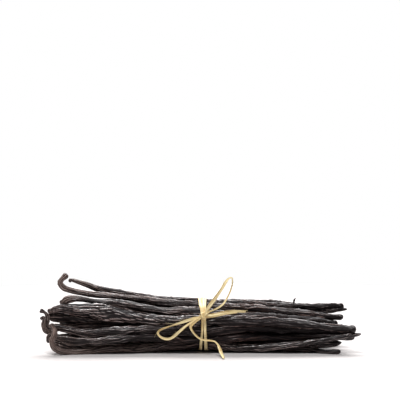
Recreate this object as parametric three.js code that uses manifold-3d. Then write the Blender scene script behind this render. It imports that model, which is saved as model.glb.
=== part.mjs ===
// A bundle of cured vanilla pods gathered at the middle by a raffia tie.
// X runs along the pods, +Z is up, the surface the bundle lies on is z = 0, sizes in millimetres.
import * as THREE from "three";
import { mergeVertices } from "three/addons/utils/BufferGeometryUtils.js";
import Module from "manifold-3d";

// ---- the bundle -----------------------------------------------------------
const TIE_X = 1.8; // where the tie gathers the pods
const TIE_Z = 16.1; // height of the middle of the gathered section
const RINGS = {
  outer: { halfWidth: 17.6, halfHeight: 11.8 },
  middle: { halfWidth: 12, halfHeight: 6.8 },
  inner: { halfWidth: 5.2, halfHeight: 1.6 },
};
const FLOOR_SQUARING = 0.62; // the lower half of the outer ring is pressed flat by its own weight
const POD_SIDES = 6;
const POD_GROWTH = [ // share of a pod's length, share of its full width
  [0, 0.5], [0.04, 0.42], [0.14, 0.62], [0.27, 0.85], [0.44, 0.97], [0.7, 1], [0.88, 0.88], [1, 0.62],
];
const END_ROUNDING = 1.1; // length of a rounded end, in end radii
const END_FACE = 0.45; // size of the small flat that closes an end, in end radii
const RING_SPACING = 17; // rings lie at the places of a pod and about this far apart between them
const END_STEP = 0.8; // the last ring but one lies this far from the end
const LENGTH_STEPS = 20; // steps from one place to the next in which a pod's length is measured
const PLAIN_RADIUS = 3.1; // a pod is round up to this radius
const FLATNESS = 0.3; // a wider pod is only thicker by this share of what it is wider
const WELD = 0.001; // corners this close together are one corner

// ---- the raffia -----------------------------------------------------------
const STRAND_WIDTH = 2.1;
const STRAND_THICK = 0.5;
const TIE_GAP = 0.4; // air between the raffia and the pods
const TIE_STEPS = 40;
const TIE_REACH = 3.5; // how far the tie reaches along the bundle, to either side of its middle
const CROSSING_STEPS = 80; // steps along a pod in which the tie's plane is looked for
const CIRCLE_STEPS = 24; // points on each pod's round that the tie is pulled taut over
const TIE_SPREAD = 1.25; // half the distance between the two strands over the top
const TIE_SPREAD_LOW = 1.9; // the same under the knot, where they part
const KNOT = new THREE.Vector3(2.1, -21.4, 22.6);
const KNOT_SIZE = new THREE.Vector3(2.3, 1.9, 2.3); // half its width, depth and height
const KNOT_SIDES = 10;
const KNOT_BANDS = 7;
const LOOP_WIDTH = 1.5;
const LOOP_THICK = 0.6;
const LYING_STEPS = 26; // rings along each strip of the bow
const STANDING_STEPS = 28;
const SHORT_STEPS = 8;
const TAIL_SIDE = 1.2; // the long tail is a rolled strand, about as thick as wide
const TAIL_STEPS = 26;
const TAIL_CURVE_STEPS = 4;


// Each pod: the ring and the turn of its place in the tie, its full width there, then the
// places it passes from the stem end to the tie and from the tie to the blossom end.
// A place is x, y, z and, where the pod is narrower or wider than usual, its width.
const PODS = {
  high_hook: ["outer", 114, 6.2,
    [[-79.8, -6, 46.4, 3.7], [-84.2, -6, 41.4, 4], [-82.2, -6, 38.1, 4.4], [-77.6, -6, 36.5, 4.2],
      [-71.6, -6, 35.5, 3.7], [-54.2, -6, 33, 3.8], [-42, -6.5, 31.5, 4.4], [-30, -7, 30, 5.2]],
    [[27, -8, 25.6, 6], [48, -8, 23.8, 6], [66, -8, 22.2, 5.2], [78, -8, 20.7, 4], [86, -8, 20.9, 4.2]]],
  high_straight: ["outer", 90, 6.2,
    [[-78, 2, 40.8, 2], [-78.6, 2, 42.1, 2.2], [-72.9, 2, 40.7, 3], [-66.8, 2, 38.5, 3.8],
      [-60.7, 2, 36.5, 4.1], [-48.5, 2, 34.1, 4.4], [-30, 1, 31.2, 5]],
    [[18, 0, 27.6, 5.6], [39.4, 0, 26.6, 5.2], [60.6, 0, 26.1, 4.8], [72.7, 0, 25.8, 4.4],
      [82, 0, 26.4, 4.2], [86.9, 0, 25.9, 3.8]]],
  arched: ["outer", 138, 6.2,
    [[-83.6, -12, 29.2, 2.2], [-81.2, -12, 30.6, 4], [-77.6, -12, 31.8, 4.5], [-71.9, -12, 32.2, 3.7],
      [-65.9, -12, 31.3, 3.5], [-59.9, -12, 30.3, 4.4], [-48, -12, 29.3, 4.8], [-21, -13, 24.9, 5.6]],
    [[24, -14, 21.9, 5.6], [48, -13, 20.7, 5.4], [65.9, -12, 19.4, 5], [82.4, -11, 17.2, 3.4]]],
  broad: ["outer", 162, 7,
    [[-90.8, -16, 25.2, 2.2], [-86, -16, 26.3, 4.4], [-80.6, -16, 26.7, 5.6], [-74.6, -16, 26.4, 6.6],
      [-68.7, -16, 26, 7.8], [-61.5, -16, 25.3, 8.8], [-52.6, -16, 24.1, 8.8], [-41.8, -16, 22.4, 7.8],
      [-31, -16.5, 20.6, 7], [-16.7, -17, 19.7, 6.4]],
    [[23.9, -17.5, 19.7, 6], [43.6, -18, 18.8, 5.8], [58.5, -18, 17.8, 5], [71.1, -18, 16.4, 4],
      [86.5, -17, 14.9, 4.4], [93, -16.5, 14.3, 5]]],
  broad_under: ["middle", 144, 6.4,
    [[-88.6, -12, 14.2, 1.6], [-90.6, -12, 16, 2.2], [-91.8, -12, 18.4, 2.8], [-91, -12, 20.8, 3.8],
      [-88.2, -12, 21.3, 6.2], [-83.6, -11.5, 20.9, 7.4], [-76.8, -11, 20.6, 7], [-57, -11, 18.6, 6],
      [-30, -12, 18, 5.4]],
    [[27, -11, 14], [51, -9, 12], [72, -8, 11.5], [86, -8, 10.5]]],
  knobbed: ["outer", 186, 6.6,
    [[-95.2, -17, 25.8, 2.7], [-92.6, -17, 24.6, 1.9], [-90.9, -17, 22.6, 2.2], [-90.5, -17, 19.6, 2.4],
      [-91.1, -17, 16.8, 2.5], [-89.9, -17, 15.1, 3], [-87.4, -17, 15.5, 4], [-84.2, -17, 15.7, 4.2],
      [-76.3, -18.3, 13.5, 4.6], [-70.5, -19, 12.8, 4.8],
      [-59.6, -19, 12.8, 4.9], [-47.7, -19, 13.3, 5.2], [-31, -18, 14.6, 5.4]],
    [[24, -15.5, 15.3, 5.6], [51, -11, 13.6, 5.4], [72, -9.5, 12.8, 5], [91, -11, 12, 3.8]]],
  curled: ["middle", 180, 6,
    [[-94, -19, 22.4, 2.8], [-92.9, -19, 20.2, 2.2], [-93.4, -19, 17.2, 2.4], [-92.3, -19, 14, 2.6],
      [-89.6, -18, 12.6, 2.8], [-86, -16, 14.2, 2.8], [-80, -14, 15.4, 3.4], [-66, -13.5, 15.6, 4.6],
      [-42, -13.5, 15.8, 5]],
    [[35, -9, 14.5], [70, -6, 15], [84, -6, 14.5]]],
  shaded: ["middle", 216, 6,
    [[-84.3, -7, 16.7, 3], [-78.3, -7, 16.7, 4.6], [-69.3, -7, 16.3, 5], [-50, -7, 15.5, 5.2]],
    [[40, -8, 9], [78, -7, 8]]],
  front_low: ["outer", 210, 6.6,
    [[-89.6, -20, 6.8, 2], [-90.1, -20, 8.8, 3], [-89.2, -20, 10.9, 3.2], [-87.2, -20.5, 11.8, 3.2],
      [-84.8, -21, 10.7, 3.4], [-81.8, -21, 10, 4], [-77.5, -21, 9.1, 4.6], [-71.3, -21, 8.1, 4.8],
      [-59.4, -21, 7.8, 4.8], [-47.6, -20, 8.8, 4.9], [-35.7, -18.5, 10, 5.2], [-24, -17, 9.6, 5.6]],
    [[24, -15, 9.4, 5.8], [51, -12.5, 8.9, 5.2], [68, -11, 8.6, 4.6], [84, -12, 9, 4],
      [92.4, -13, 9.2, 3.4]]],
  front_floor: ["outer", 234, 6.6,
    [[-88.2, -22, 18.6, 2.8], [-87.4, -22, 16.7, 2.8], [-86.3, -22.5, 14.5, 3.3], [-86.2, -23, 12.3, 3.4],
      [-87, -23.5, 10.2, 3.2], [-87.6, -24, 7.9, 3.2], [-86.8, -24, 5.4, 3.4], [-85, -24, 3.3, 3.5],
      [-82, -23.7, 2, 3.6], [-77.6, -22, 1.7, 3.7], [-69.2, -20, 2, 3.9], [-59.5, -17.5, 2.15, 4.4],
      [-32.8, -13, 2.7, 5.6]],
    [[24, -14, 3.2, 5], [51, -16.5, 4.7, 4], [70, -17.5, 7.4, 3.4], [84, -17.5, 9.7, 3.3],
      [91, -17.5, 10.9, 3], [94, -17.5, 11.4, 2.1], [96, -17.5, 11.9, 1]]],
  floor_club: ["outer", 258, 6.2,
    [[-88, -14, 6.6, 3.6], [-83, -13, 5.3, 5.6], [-76.6, -13, 4, 5.6], [-60, -12, 3, 5.6],
      [-42, -8, 3, 5.6]],
    [[30, -6, 2.8, 5.6], [51, -9, 2.4, 5], [66, -13, 2, 4.2], [74, -18, 1.5, 2.5], [80, -20, 1.6, 3.3],
      [83.6, -20, 1.6, 2.9]]],
  low_tip: ["middle", 252, 6.2,
    [[-75, -7, 4], [-45, -6, 7]],
    [[45, -6, 6.4, 5.2], [66, -9, 5.2, 4.4], [76, -11, 4.8, 4.2], [81.5, -11, 5.4, 3.6],
      [84.8, -11, 5.8, 2.2]]],
  pointed_top: ["middle", 108, 6.2,
    [[-72, -2, 24.5], [-45, -2, 26.5]],
    [[40, 0, 23.3], [60, 1, 23, 5], [76, 1, 23.9, 3.8], [83, 0, 24.2, 2.8], [86.4, -1, 24.5, 2.2],
      [89, -1, 24.8, 1]]],
  floor_middle: ["outer", 270, 6.4, [[-86.5, -2, 3, 4.6], [-80, 0, 3, 5.2], [-45, 0, 3]],
    [[42, -0.5, 3], [64, -1, 2.8]]],
  back_floor: ["outer", 282, 6.4, [[-76, 9, 5], [-72, 7.5, 2.4], [-45, 6.5, 3]],
    [[40, 5, 3.1], [68, 6, 2.5]]],
  back_low: ["outer", 306, 6.6, [[-79, 18.5, 1.4], [-48, 16, 2.9]], [[42, 15, 3.1], [76, 17, 1.8]]],
  back_mid: ["outer", 330, 6.8, [[-76, 24.4, 8.4], [-73, 22, 5.6], [-45, 19.5, 8]],
    [[40, 18.5, 8], [87, 19, 7]]],
  back_broad: ["outer", 354, 7.4, [[-77, 22.5, 11.5], [-40, 20, 13]], [[40, 19.5, 12], [75, 22, 11.5]]],
  back_high: ["outer", 18, 6.8, [[-70, 22.5, 11], [-71, 22.5, 14.5], [-64, 22, 16.5], [-42, 19.5, 18]],
    [[40, 18.5, 17.5], [84, 21, 10.5]]],
  back_top: ["outer", 42, 6.8, [[-78, 17, 18], [-40, 14.5, 23.5]], [[35, 14.5, 23.5], [76, 17.5, 20]]],
  top_back: ["outer", 66, 6.8, [[-74, 9, 22.3], [-45, 8, 27]],
    [[30, 7.5, 26.6], [60, 8, 24.6], [78, 9, 21.5]]],
  core_top: ["middle", 72, 6.4, [[-79, 6, 19.5], [-45, 4, 23]], [[40, 4, 21], [70, 3, 18, 5], [81, 2, 18, 4]]],
  core_high: ["middle", 36, 6.4, [[-72, 13, 17.5], [-45, 11.5, 20.5]], [[45, 11.5, 20], [80, 14, 15]]],
  core_back: ["middle", 0, 6.4, [[-80, 14, 13], [-45, 14, 14.5]], [[45, 13, 14], [88, 9, 12.5]]],
  core_low: ["middle", 324, 6.4, [[-75, 15, 6.5], [-45, 13.5, 9.5]], [[45, 13, 9.5], [82, 13, 8.5]]],
  core_floor: ["middle", 288, 6.2, [[-82, 5, 5.5], [-45, 6, 7.5]], [[45, 6, 7.5], [76, 7, 5.5]]],
  inner_front: ["inner", 180, 6.4,
    [[-88, -11, 9.2, 3.4], [-81, -9, 9, 4.6], [-74, -6, 9.6, 4.8], [-45, -5, 12.5]],
    [[45, -6, 12.5], [85, -7, 9]]],
  inner_top: ["inner", 60, 6.4, [[-84, 0, 21.5], [-45, 1, 19.5]], [[45, 1, 18.5], [79, 1, 18.5]]],
  inner_low: ["inner", 300, 6.4, [[-81, 4, 14], [-45, 4, 14]], [[45, 3, 13], [80, 3, 12]]],
};

// The packed middle of the bundle, where the inner pods leave no way through:
// x, y and z of the section and its half width and half height.
const CORE = [
  [-58, 1, 14, 8, 5], [-40, 1, 15, 12, 8], [-20, 0, 15.6, 14, 9.6], [TIE_X, 0, TIE_Z, 15, 10],
  [24, 0, 14.8, 14, 9.4], [44, 0, 13.4, 12, 7.6], [60, 1, 12, 8, 5],
];
const CORE_SIDES = 14;

// The block that stands for the surface below, which presses the lowest pods flat.
const UNDER = { length: 300, depth: 120, height: 20 };

// A dried scrap of stem that stands up off the top of the bundle.
const SPIKE_FOOT = new THREE.Vector3(56.6, 0.6, 27);
const SPIKE_TIP = new THREE.Vector3(57.8, 0.6, 31.5);
const SPIKE_RADIUS = 0.75;
const SPIKE_TIP_SHARE = 0.4; // its tip is this thin beside its foot
const SPIKE_SIDES = 5;

// ---- numbers ---------------------------------------------------------------
const powered = (value, power) => Math.sign(value) * Math.abs(value) ** power;

function lookUp(table, at) {
  let i = 1;
  while (i < table.length - 1 && table[i][0] < at) i += 1;
  const [a, b] = [table[i - 1], table[i]];
  const share = Math.min(Math.max((at - a[0]) / (b[0] - a[0]), 0), 1);
  return a[1] + (b[1] - a[1]) * share;
}

function tiePlace(ringName, turn) {
  const ring = RINGS[ringName];
  const angle = THREE.MathUtils.degToRad(turn);
  const pressed = ringName === "outer" && Math.sin(angle) < 0 ? FLOOR_SQUARING : 1;
  return [
    TIE_X,
    ring.halfWidth * powered(Math.cos(angle), pressed),
    TIE_Z + ring.halfHeight * powered(Math.sin(angle), pressed),
  ];
}

// Smooth line through the places, with the width carried along it.
function podLine([ringName, turn, width, stemSide, blossomSide]) {
  const places = [...stemSide, [...tiePlace(ringName, turn), width], ...blossomSide];
  const points = places.map(([x, y, z]) => new THREE.Vector3(x, y, z));
  const reach = [0];
  for (let i = 1; i < points.length; i += 1) {
    reach.push(reach[i - 1] + points[i].distanceTo(points[i - 1]));
  }
  const total = reach[reach.length - 1];
  const widths = places.map((place, i) => [
    reach[i] / total,
    place.length > 3 ? place[3] : width * lookUp(POD_GROWTH, reach[i] / total),
  ]);
  const curve = new THREE.CatmullRomCurve3(points, false, "centripetal");
  curve.arcLengthDivisions = LENGTH_STEPS * (points.length - 1);
  const stops = curve.getLengths().filter((_, i) => i % LENGTH_STEPS === 0);
  const length = stops[stops.length - 1];
  const radiusAt = (distance) => {
    let radius = lookUp(widths, distance / length) / 2;
    const ends = [[distance, widths[0][1] / 2], [length - distance, widths[widths.length - 1][1] / 2]];
    for (const [away, end] of ends) {
      const inside = Math.min(away / (end * END_ROUNDING), 1);
      radius *= Math.max(Math.sqrt(1 - (1 - inside) ** 2), END_FACE);
    }
    return radius;
  };
  return { curve, stops, length, radiusAt };
}

// Where the rings of a pod lie along it: at its places, between places far apart and close to its ends.
function ringMarks(stops, length) {
  const marks = [0, END_STEP];
  for (let i = 1; i < stops.length; i += 1) {
    const gap = stops[i] - stops[i - 1];
    const parts = Math.max(Math.round(gap / RING_SPACING), 1);
    for (let part = 1; part <= parts; part += 1) {
      const mark = stops[i - 1] + (gap * part) / parts;
      if (mark > 2 * END_STEP && mark < length - 2 * END_STEP) marks.push(mark);
    }
  }
  return [...marks, length - END_STEP, length];
}

// ---- solids ----------------------------------------------------------------
// A closed skin over rings of equally many points; each end ring is closed by a fan.
function skin(rings, closed = false) {
  const count = rings[0].length;
  const positions = rings.flat().flatMap((p) => [p.x, p.y, p.z]);
  const faces = [];
  const spans = closed ? rings.length : rings.length - 1;
  for (let i = 0; i < spans; i += 1) {
    const next = (i + 1) % rings.length;
    for (let j = 0; j < count; j += 1) {
      const k = (j + 1) % count;
      faces.push(i * count + j, i * count + k, next * count + k);
      faces.push(i * count + j, next * count + k, next * count + j);
    }
  }
  if (!closed) {
    const last = (rings.length - 1) * count;
    for (let j = 1; j < count - 1; j += 1) {
      faces.push(0, j + 1, j);
      faces.push(last, last + j, last + j + 1);
    }
  }
  const geometry = new THREE.BufferGeometry();
  geometry.setAttribute("position", new THREE.Float32BufferAttribute(positions, 3));
  geometry.setIndex(faces);
  return geometry;
}

function podSolid(row) {
  const { curve, stops, length, radiusAt } = podLine(row);
  const rings = ringMarks(stops, length).map((distance) => {
    const u = distance / length;
    const centre = curve.getPointAt(u);
    const along = curve.getTangentAt(u);
    const side = new THREE.Vector3(0, 1, 0).addScaledVector(along, -along.y).normalize();
    const up = new THREE.Vector3().crossVectors(along, side);
    const radius = radiusAt(distance);
    const thick = Math.min(radius, PLAIN_RADIUS + FLATNESS * (radius - PLAIN_RADIUS));
    return Array.from({ length: POD_SIDES }, (_, j) => {
      const turn = ((j + 0.5) / POD_SIDES) * 2 * Math.PI;
      return centre
        .clone()
        .addScaledVector(side, thick * Math.cos(turn))
        .addScaledVector(up, radius * Math.sin(turn));
    });
  });
  return skin(rings);
}

function coreSolid() {
  const rings = CORE.map(([x, y, z, halfWidth, halfHeight]) =>
    Array.from({ length: CORE_SIDES }, (_, j) => {
      const turn = (j / CORE_SIDES) * 2 * Math.PI;
      return new THREE.Vector3(x, y + halfWidth * Math.cos(turn), z + halfHeight * Math.sin(turn));
    }),
  );
  return skin(rings);
}

function spikeSolid() {
  const height = SPIKE_TIP.distanceTo(SPIKE_FOOT);
  const tipRadius = SPIKE_RADIUS * SPIKE_TIP_SHARE;
  const geometry = new THREE.CylinderGeometry(tipRadius, SPIKE_RADIUS, height, SPIKE_SIDES);
  const lean = new THREE.Vector3().subVectors(SPIKE_TIP, SPIKE_FOOT).normalize();
  geometry.applyQuaternion(new THREE.Quaternion().setFromUnitVectors(new THREE.Vector3(0, 1, 0), lean));
  const middle = new THREE.Vector3().addVectors(SPIKE_TIP, SPIKE_FOOT).multiplyScalar(0.5);
  return geometry.translate(middle.x, middle.y, middle.z);
}

// ---- joining ---------------------------------------------------------------
const wasm = await Module();
wasm.setup();

function toManifold(geometry) {
  const bare = geometry.clone();
  bare.deleteAttribute("normal");
  bare.deleteAttribute("uv");
  const merged = mergeVertices(bare, WELD);
  return new wasm.Manifold(
    new wasm.Mesh({
      numProp: 3,
      vertProperties: new Float32Array(merged.attributes.position.array),
      triVerts: new Uint32Array(merged.index.array),
    }),
  );
}

function fromManifold(manifold) {
  const mesh = manifold.getMesh();
  const geometry = new THREE.BufferGeometry();
  geometry.setAttribute("position", new THREE.Float32BufferAttribute(Array.from(mesh.vertProperties), 3));
  geometry.setIndex(Array.from(mesh.triVerts));
  return geometry;
}

// Keeps the outside skin and leaves out the pockets closed in between the pods.
function outsideOnly(manifold) {
  const shells = toManifold(fromManifold(manifold)).decompose();
  shells.sort((a, b) => b.volume() - a.volume());
  return fromManifold(shells[0]);
}

function bundleGeometry() {
  let whole = toManifold(coreSolid());
  for (const row of Object.values(PODS)) whole = whole.add(toManifold(podSolid(row)));
  whole = whole.add(toManifold(spikeSolid()));
  const under = new THREE.BoxGeometry(UNDER.length, UNDER.depth, UNDER.height);
  under.translate(0, 0, -UNDER.height / 2);
  return outsideOnly(whole.subtract(toManifold(under)));
}

// ---- the tie ---------------------------------------------------------------
const lines = Object.values(PODS).map(podLine);

// Circles of all the pods where they cross the upright plane at x.
function crossings(x) {
  const found = [];
  for (const { curve, length, radiusAt } of lines) {
    let before = curve.getPointAt(0);
    for (let i = 1; i <= CROSSING_STEPS; i += 1) {
      const here = curve.getPointAt(i / CROSSING_STEPS);
      if ((before.x - x) * (here.x - x) <= 0 && before.x !== here.x) {
        const share = (x - before.x) / (here.x - before.x);
        const middle = before.clone().lerp(here, share);
        found.push({ y: middle.y, z: middle.z, r: radiusAt(((i - 1 + share) / CROSSING_STEPS) * length) });
      }
      before = here;
    }
  }
  return found;
}

// The taut line round the gathered pods, as points at even turns about its middle.
function tautLine(offset) {
  const points = [];
  for (const x of [TIE_X - TIE_REACH, TIE_X, TIE_X + TIE_REACH]) {
    for (const { y, z, r } of crossings(x)) {
      for (let j = 0; j < CIRCLE_STEPS; j += 1) {
        const turn = (j / CIRCLE_STEPS) * 2 * Math.PI;
        points.push([y + (r + offset) * Math.cos(turn), z + (r + offset) * Math.sin(turn)]);
      }
    }
  }
  points.sort((a, b) => a[0] - b[0] || a[1] - b[1]);
  const cross = (o, a, b) => (a[0] - o[0]) * (b[1] - o[1]) - (a[1] - o[1]) * (b[0] - o[0]);
  const half = (list) => {
    const chain = [];
    for (const p of list) {
      while (chain.length > 1 && cross(chain[chain.length - 2], chain[chain.length - 1], p) <= 0) chain.pop();
      chain.push(p);
    }
    return chain.slice(0, -1);
  };
  const hull = [...half(points), ...half([...points].reverse())];
  const middle = [0, TIE_Z];
  return Array.from({ length: TIE_STEPS }, (_, i) => {
    const turn = (i / TIE_STEPS) * 2 * Math.PI;
    const aim = [Math.cos(turn), Math.sin(turn)];
    let far = 0;
    for (let j = 0; j < hull.length; j += 1) {
      const a = hull[j];
      const b = hull[(j + 1) % hull.length];
      const edge = [b[0] - a[0], b[1] - a[1]];
      const det = aim[0] * edge[1] - aim[1] * edge[0];
      const start = [a[0] - middle[0], a[1] - middle[1]];
      const along = (start[0] * edge[1] - start[1] * edge[0]) / det;
      const across = (start[0] * aim[1] - start[1] * aim[0]) / det;
      if (across >= 0 && across <= 1 && along > far) far = along;
    }
    return { turn, y: middle[0] + aim[0] * far, z: middle[1] + aim[1] * far };
  });
}

// One flat strand taken once round the bundle; the two strands part under the knot.
function strandSolid(hand) {
  const inner = tautLine(TIE_GAP);
  const outer = tautLine(TIE_GAP + STRAND_THICK);
  const knotTurn = Math.atan2(KNOT.z - TIE_Z, KNOT.y);
  const rings = inner.map((p, i) => {
    const q = outer[i];
    const below = Math.sin(p.turn) < Math.sin(knotTurn) ? 1 : 0;
    const spread = below ? TIE_SPREAD_LOW : TIE_SPREAD;
    const x = TIE_X + hand * spread;
    return [
      new THREE.Vector3(x - STRAND_WIDTH / 2, p.y, p.z),
      new THREE.Vector3(x + STRAND_WIDTH / 2, p.y, p.z),
      new THREE.Vector3(x + STRAND_WIDTH / 2, q.y, q.z),
      new THREE.Vector3(x - STRAND_WIDTH / 2, q.y, q.z),
    ];
  });
  return skin(rings, true);
}

// A flat strip along a line, its broad side turned to `face` as far as the line lets it.
function stripSolid(points, width, thick, steps, face, closed = false) {
  const curve = new THREE.CatmullRomCurve3(points.map((p) => new THREE.Vector3(...p)), closed, "centripetal");
  const count = closed ? steps : steps + 1;
  const rings = Array.from({ length: count }, (_, i) => {
    const centre = curve.getPointAt(i / steps);
    const along = curve.getTangentAt(i / steps);
    const normal = face.clone().addScaledVector(along, -face.dot(along)).normalize();
    const across = new THREE.Vector3().crossVectors(along, normal);
    return [[1, 1], [1, -1], [-1, -1], [-1, 1]].map(([a, n]) =>
      centre.clone().addScaledVector(across, (a * width) / 2).addScaledVector(normal, (n * thick) / 2),
    );
  });
  return skin(rings, closed);
}

// The bow's loops and the short tail, as places along each strip from the knot outwards.
const FRONT = new THREE.Vector3(0, -1, 0.15).normalize();
const LYING_LOOP = [
  [1, -21.6, 22.4], [-3.5, -22.1, 21.6], [-8.9, -22.2, 19.9], [-14.9, -22, 17.9], [-20.2, -22, 16.2],
  [-23.9, -22, 14.6], [-25, -22.2, 12.8], [-23.3, -22.5, 10.6], [-19.8, -22.7, 9.4], [-16.4, -22.8, 10.3],
  [-12.8, -22.8, 13.4], [-7.9, -22.8, 17.4], [-2.4, -22.5, 20.8], [1.4, -22, 22],
];
const STANDING_LOOP = [
  [2.4, -21.4, 23], [5.7, -19.4, 28.8], [8.4, -17.6, 32.2], [13, -14.6, 38.5], [17.1, -12.6, 44.2],
  [18.9, -12.4, 44.8], [19.3, -12.8, 41.8], [18.1, -13.6, 37.2], [16.3, -15, 33.2], [13.4, -17.2, 29.2],
  [9.4, -19, 26.9], [5.2, -20.6, 25.2], [2.6, -21.6, 22.8],
];
const SHORT_TAIL = [
  [2.4, -21.6, 23], [8.9, -21.1, 23.9], [14.9, -20.2, 25.1], [20.9, -18.8, 25.5], [27.2, -17.8, 25.2],
];
const LONG_TAIL = [
  [-0.4, -23.8, 21.6], [-2.6, -23.9, 20.1], [-4.5, -23.9, 18.4], [-5.4, -23.8, 16.6], [-4.4, -23.7, 14.3],
  [-2.4, -23.8, 11.7], [0.1, -24, 9.7], [2.6, -24.2, 8.9], [5.6, -24.6, 8.7], [8.6, -25.4, 8.2],
  [10.2, -26.9, 6.9], [11.4, -29.5, 5.1], [12.6, -35, 2.7], [13.9, -42, 0.75],
];

function tieGeometry() {
  const knot = new THREE.SphereGeometry(1, KNOT_SIDES, KNOT_BANDS);
  knot.scale(KNOT_SIZE.x, KNOT_SIZE.y, KNOT_SIZE.z).translate(KNOT.x, KNOT.y, KNOT.z);
  let whole = toManifold(knot);
  whole = whole.add(toManifold(strandSolid(-1)));
  whole = whole.add(toManifold(strandSolid(1)));
  whole = whole.add(toManifold(stripSolid(LYING_LOOP, LOOP_WIDTH, LOOP_THICK, LYING_STEPS, FRONT)));
  whole = whole.add(toManifold(stripSolid(STANDING_LOOP, LOOP_WIDTH, LOOP_THICK, STANDING_STEPS, FRONT)));
  whole = whole.add(toManifold(stripSolid(SHORT_TAIL, LOOP_WIDTH, LOOP_THICK, SHORT_STEPS, FRONT)));
  return outsideOnly(whole);
}

function tailGeometry() {
  const section = new THREE.Shape();
  section.absarc(0, 0, TAIL_SIDE / 2, 0, 2 * Math.PI, false);
  const places = LONG_TAIL.map((p) => new THREE.Vector3(...p));
  const path = new THREE.CatmullRomCurve3(places, false, "centripetal");
  return new THREE.ExtrudeGeometry(section, {
    steps: TAIL_STEPS,
    curveSegments: TAIL_CURVE_STEPS,
    bevelEnabled: false,
    extrudePath: path,
  });
}

// ---- the object ------------------------------------------------------------
const podSkin = new THREE.MeshStandardMaterial({ color: 0x2b2220, roughness: 0.45, metalness: 0 });
const raffia = new THREE.MeshStandardMaterial({ color: 0xe0cb9c, roughness: 0.7, metalness: 0 });

function piece(name, geometry, material) {
  geometry.computeVertexNormals();
  const mesh = new THREE.Mesh(geometry, material.clone());
  mesh.name = name;
  return mesh;
}

const object = new THREE.Group();
object.name = "vanilla_bundle";
object.add(piece("pod_bundle", bundleGeometry(), podSkin));
object.add(piece("raffia_tie", tieGeometry(), raffia));
object.add(piece("raffia_tail", tailGeometry(), raffia));

export default object;
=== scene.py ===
"""A bundle of cured vanilla pods tied with raffia, laid out as a small add-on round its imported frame."""
import math

import bpy
import numpy as np
from bpy.props import FloatProperty, FloatVectorProperty, PointerProperty
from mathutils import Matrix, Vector


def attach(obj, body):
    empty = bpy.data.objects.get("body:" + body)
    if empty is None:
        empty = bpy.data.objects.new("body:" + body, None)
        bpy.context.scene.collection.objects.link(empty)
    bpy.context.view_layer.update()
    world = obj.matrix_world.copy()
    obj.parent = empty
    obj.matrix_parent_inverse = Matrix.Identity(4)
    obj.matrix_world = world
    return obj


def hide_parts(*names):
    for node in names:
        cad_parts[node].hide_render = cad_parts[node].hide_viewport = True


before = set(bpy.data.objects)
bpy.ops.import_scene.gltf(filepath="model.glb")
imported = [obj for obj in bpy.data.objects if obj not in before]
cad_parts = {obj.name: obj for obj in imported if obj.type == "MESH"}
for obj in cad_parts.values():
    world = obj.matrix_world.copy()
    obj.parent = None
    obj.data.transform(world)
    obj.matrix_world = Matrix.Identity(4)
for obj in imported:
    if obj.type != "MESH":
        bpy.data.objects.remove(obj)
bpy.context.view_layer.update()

bl_info = {
    "name": "Vanilla bundle",
    "version": (1, 0, 0),
    "blender": (4, 5, 0),
    "location": "View3D > Sidebar > Vanilla",
    "description": "Builds a raffia-tied bundle of cured vanilla pods and the studio it stands in",
    "category": "Add Mesh",
}

BODY = "root"

# ---- where the pods lie, in metres -------------------------------------------
TIE_X = 0.0018  # where the tie gathers the pods
TIE_Z = 0.0161  # height of the middle of the gathered section
RINGS = {"outer": (0.0176, 0.0118), "middle": (0.012, 0.0068), "inner": (0.0052, 0.0016)}
FLOOR_SQUARING = 0.62  # the lower half of the outer ring is pressed flat by its own weight
POD_GROWTH = [  # share of a pod's length, share of its full width
    (0, 0.5), (0.04, 0.42), (0.14, 0.62), (0.27, 0.85), (0.44, 0.97), (0.7, 1), (0.88, 0.88), (1, 0.62),
]

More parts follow.
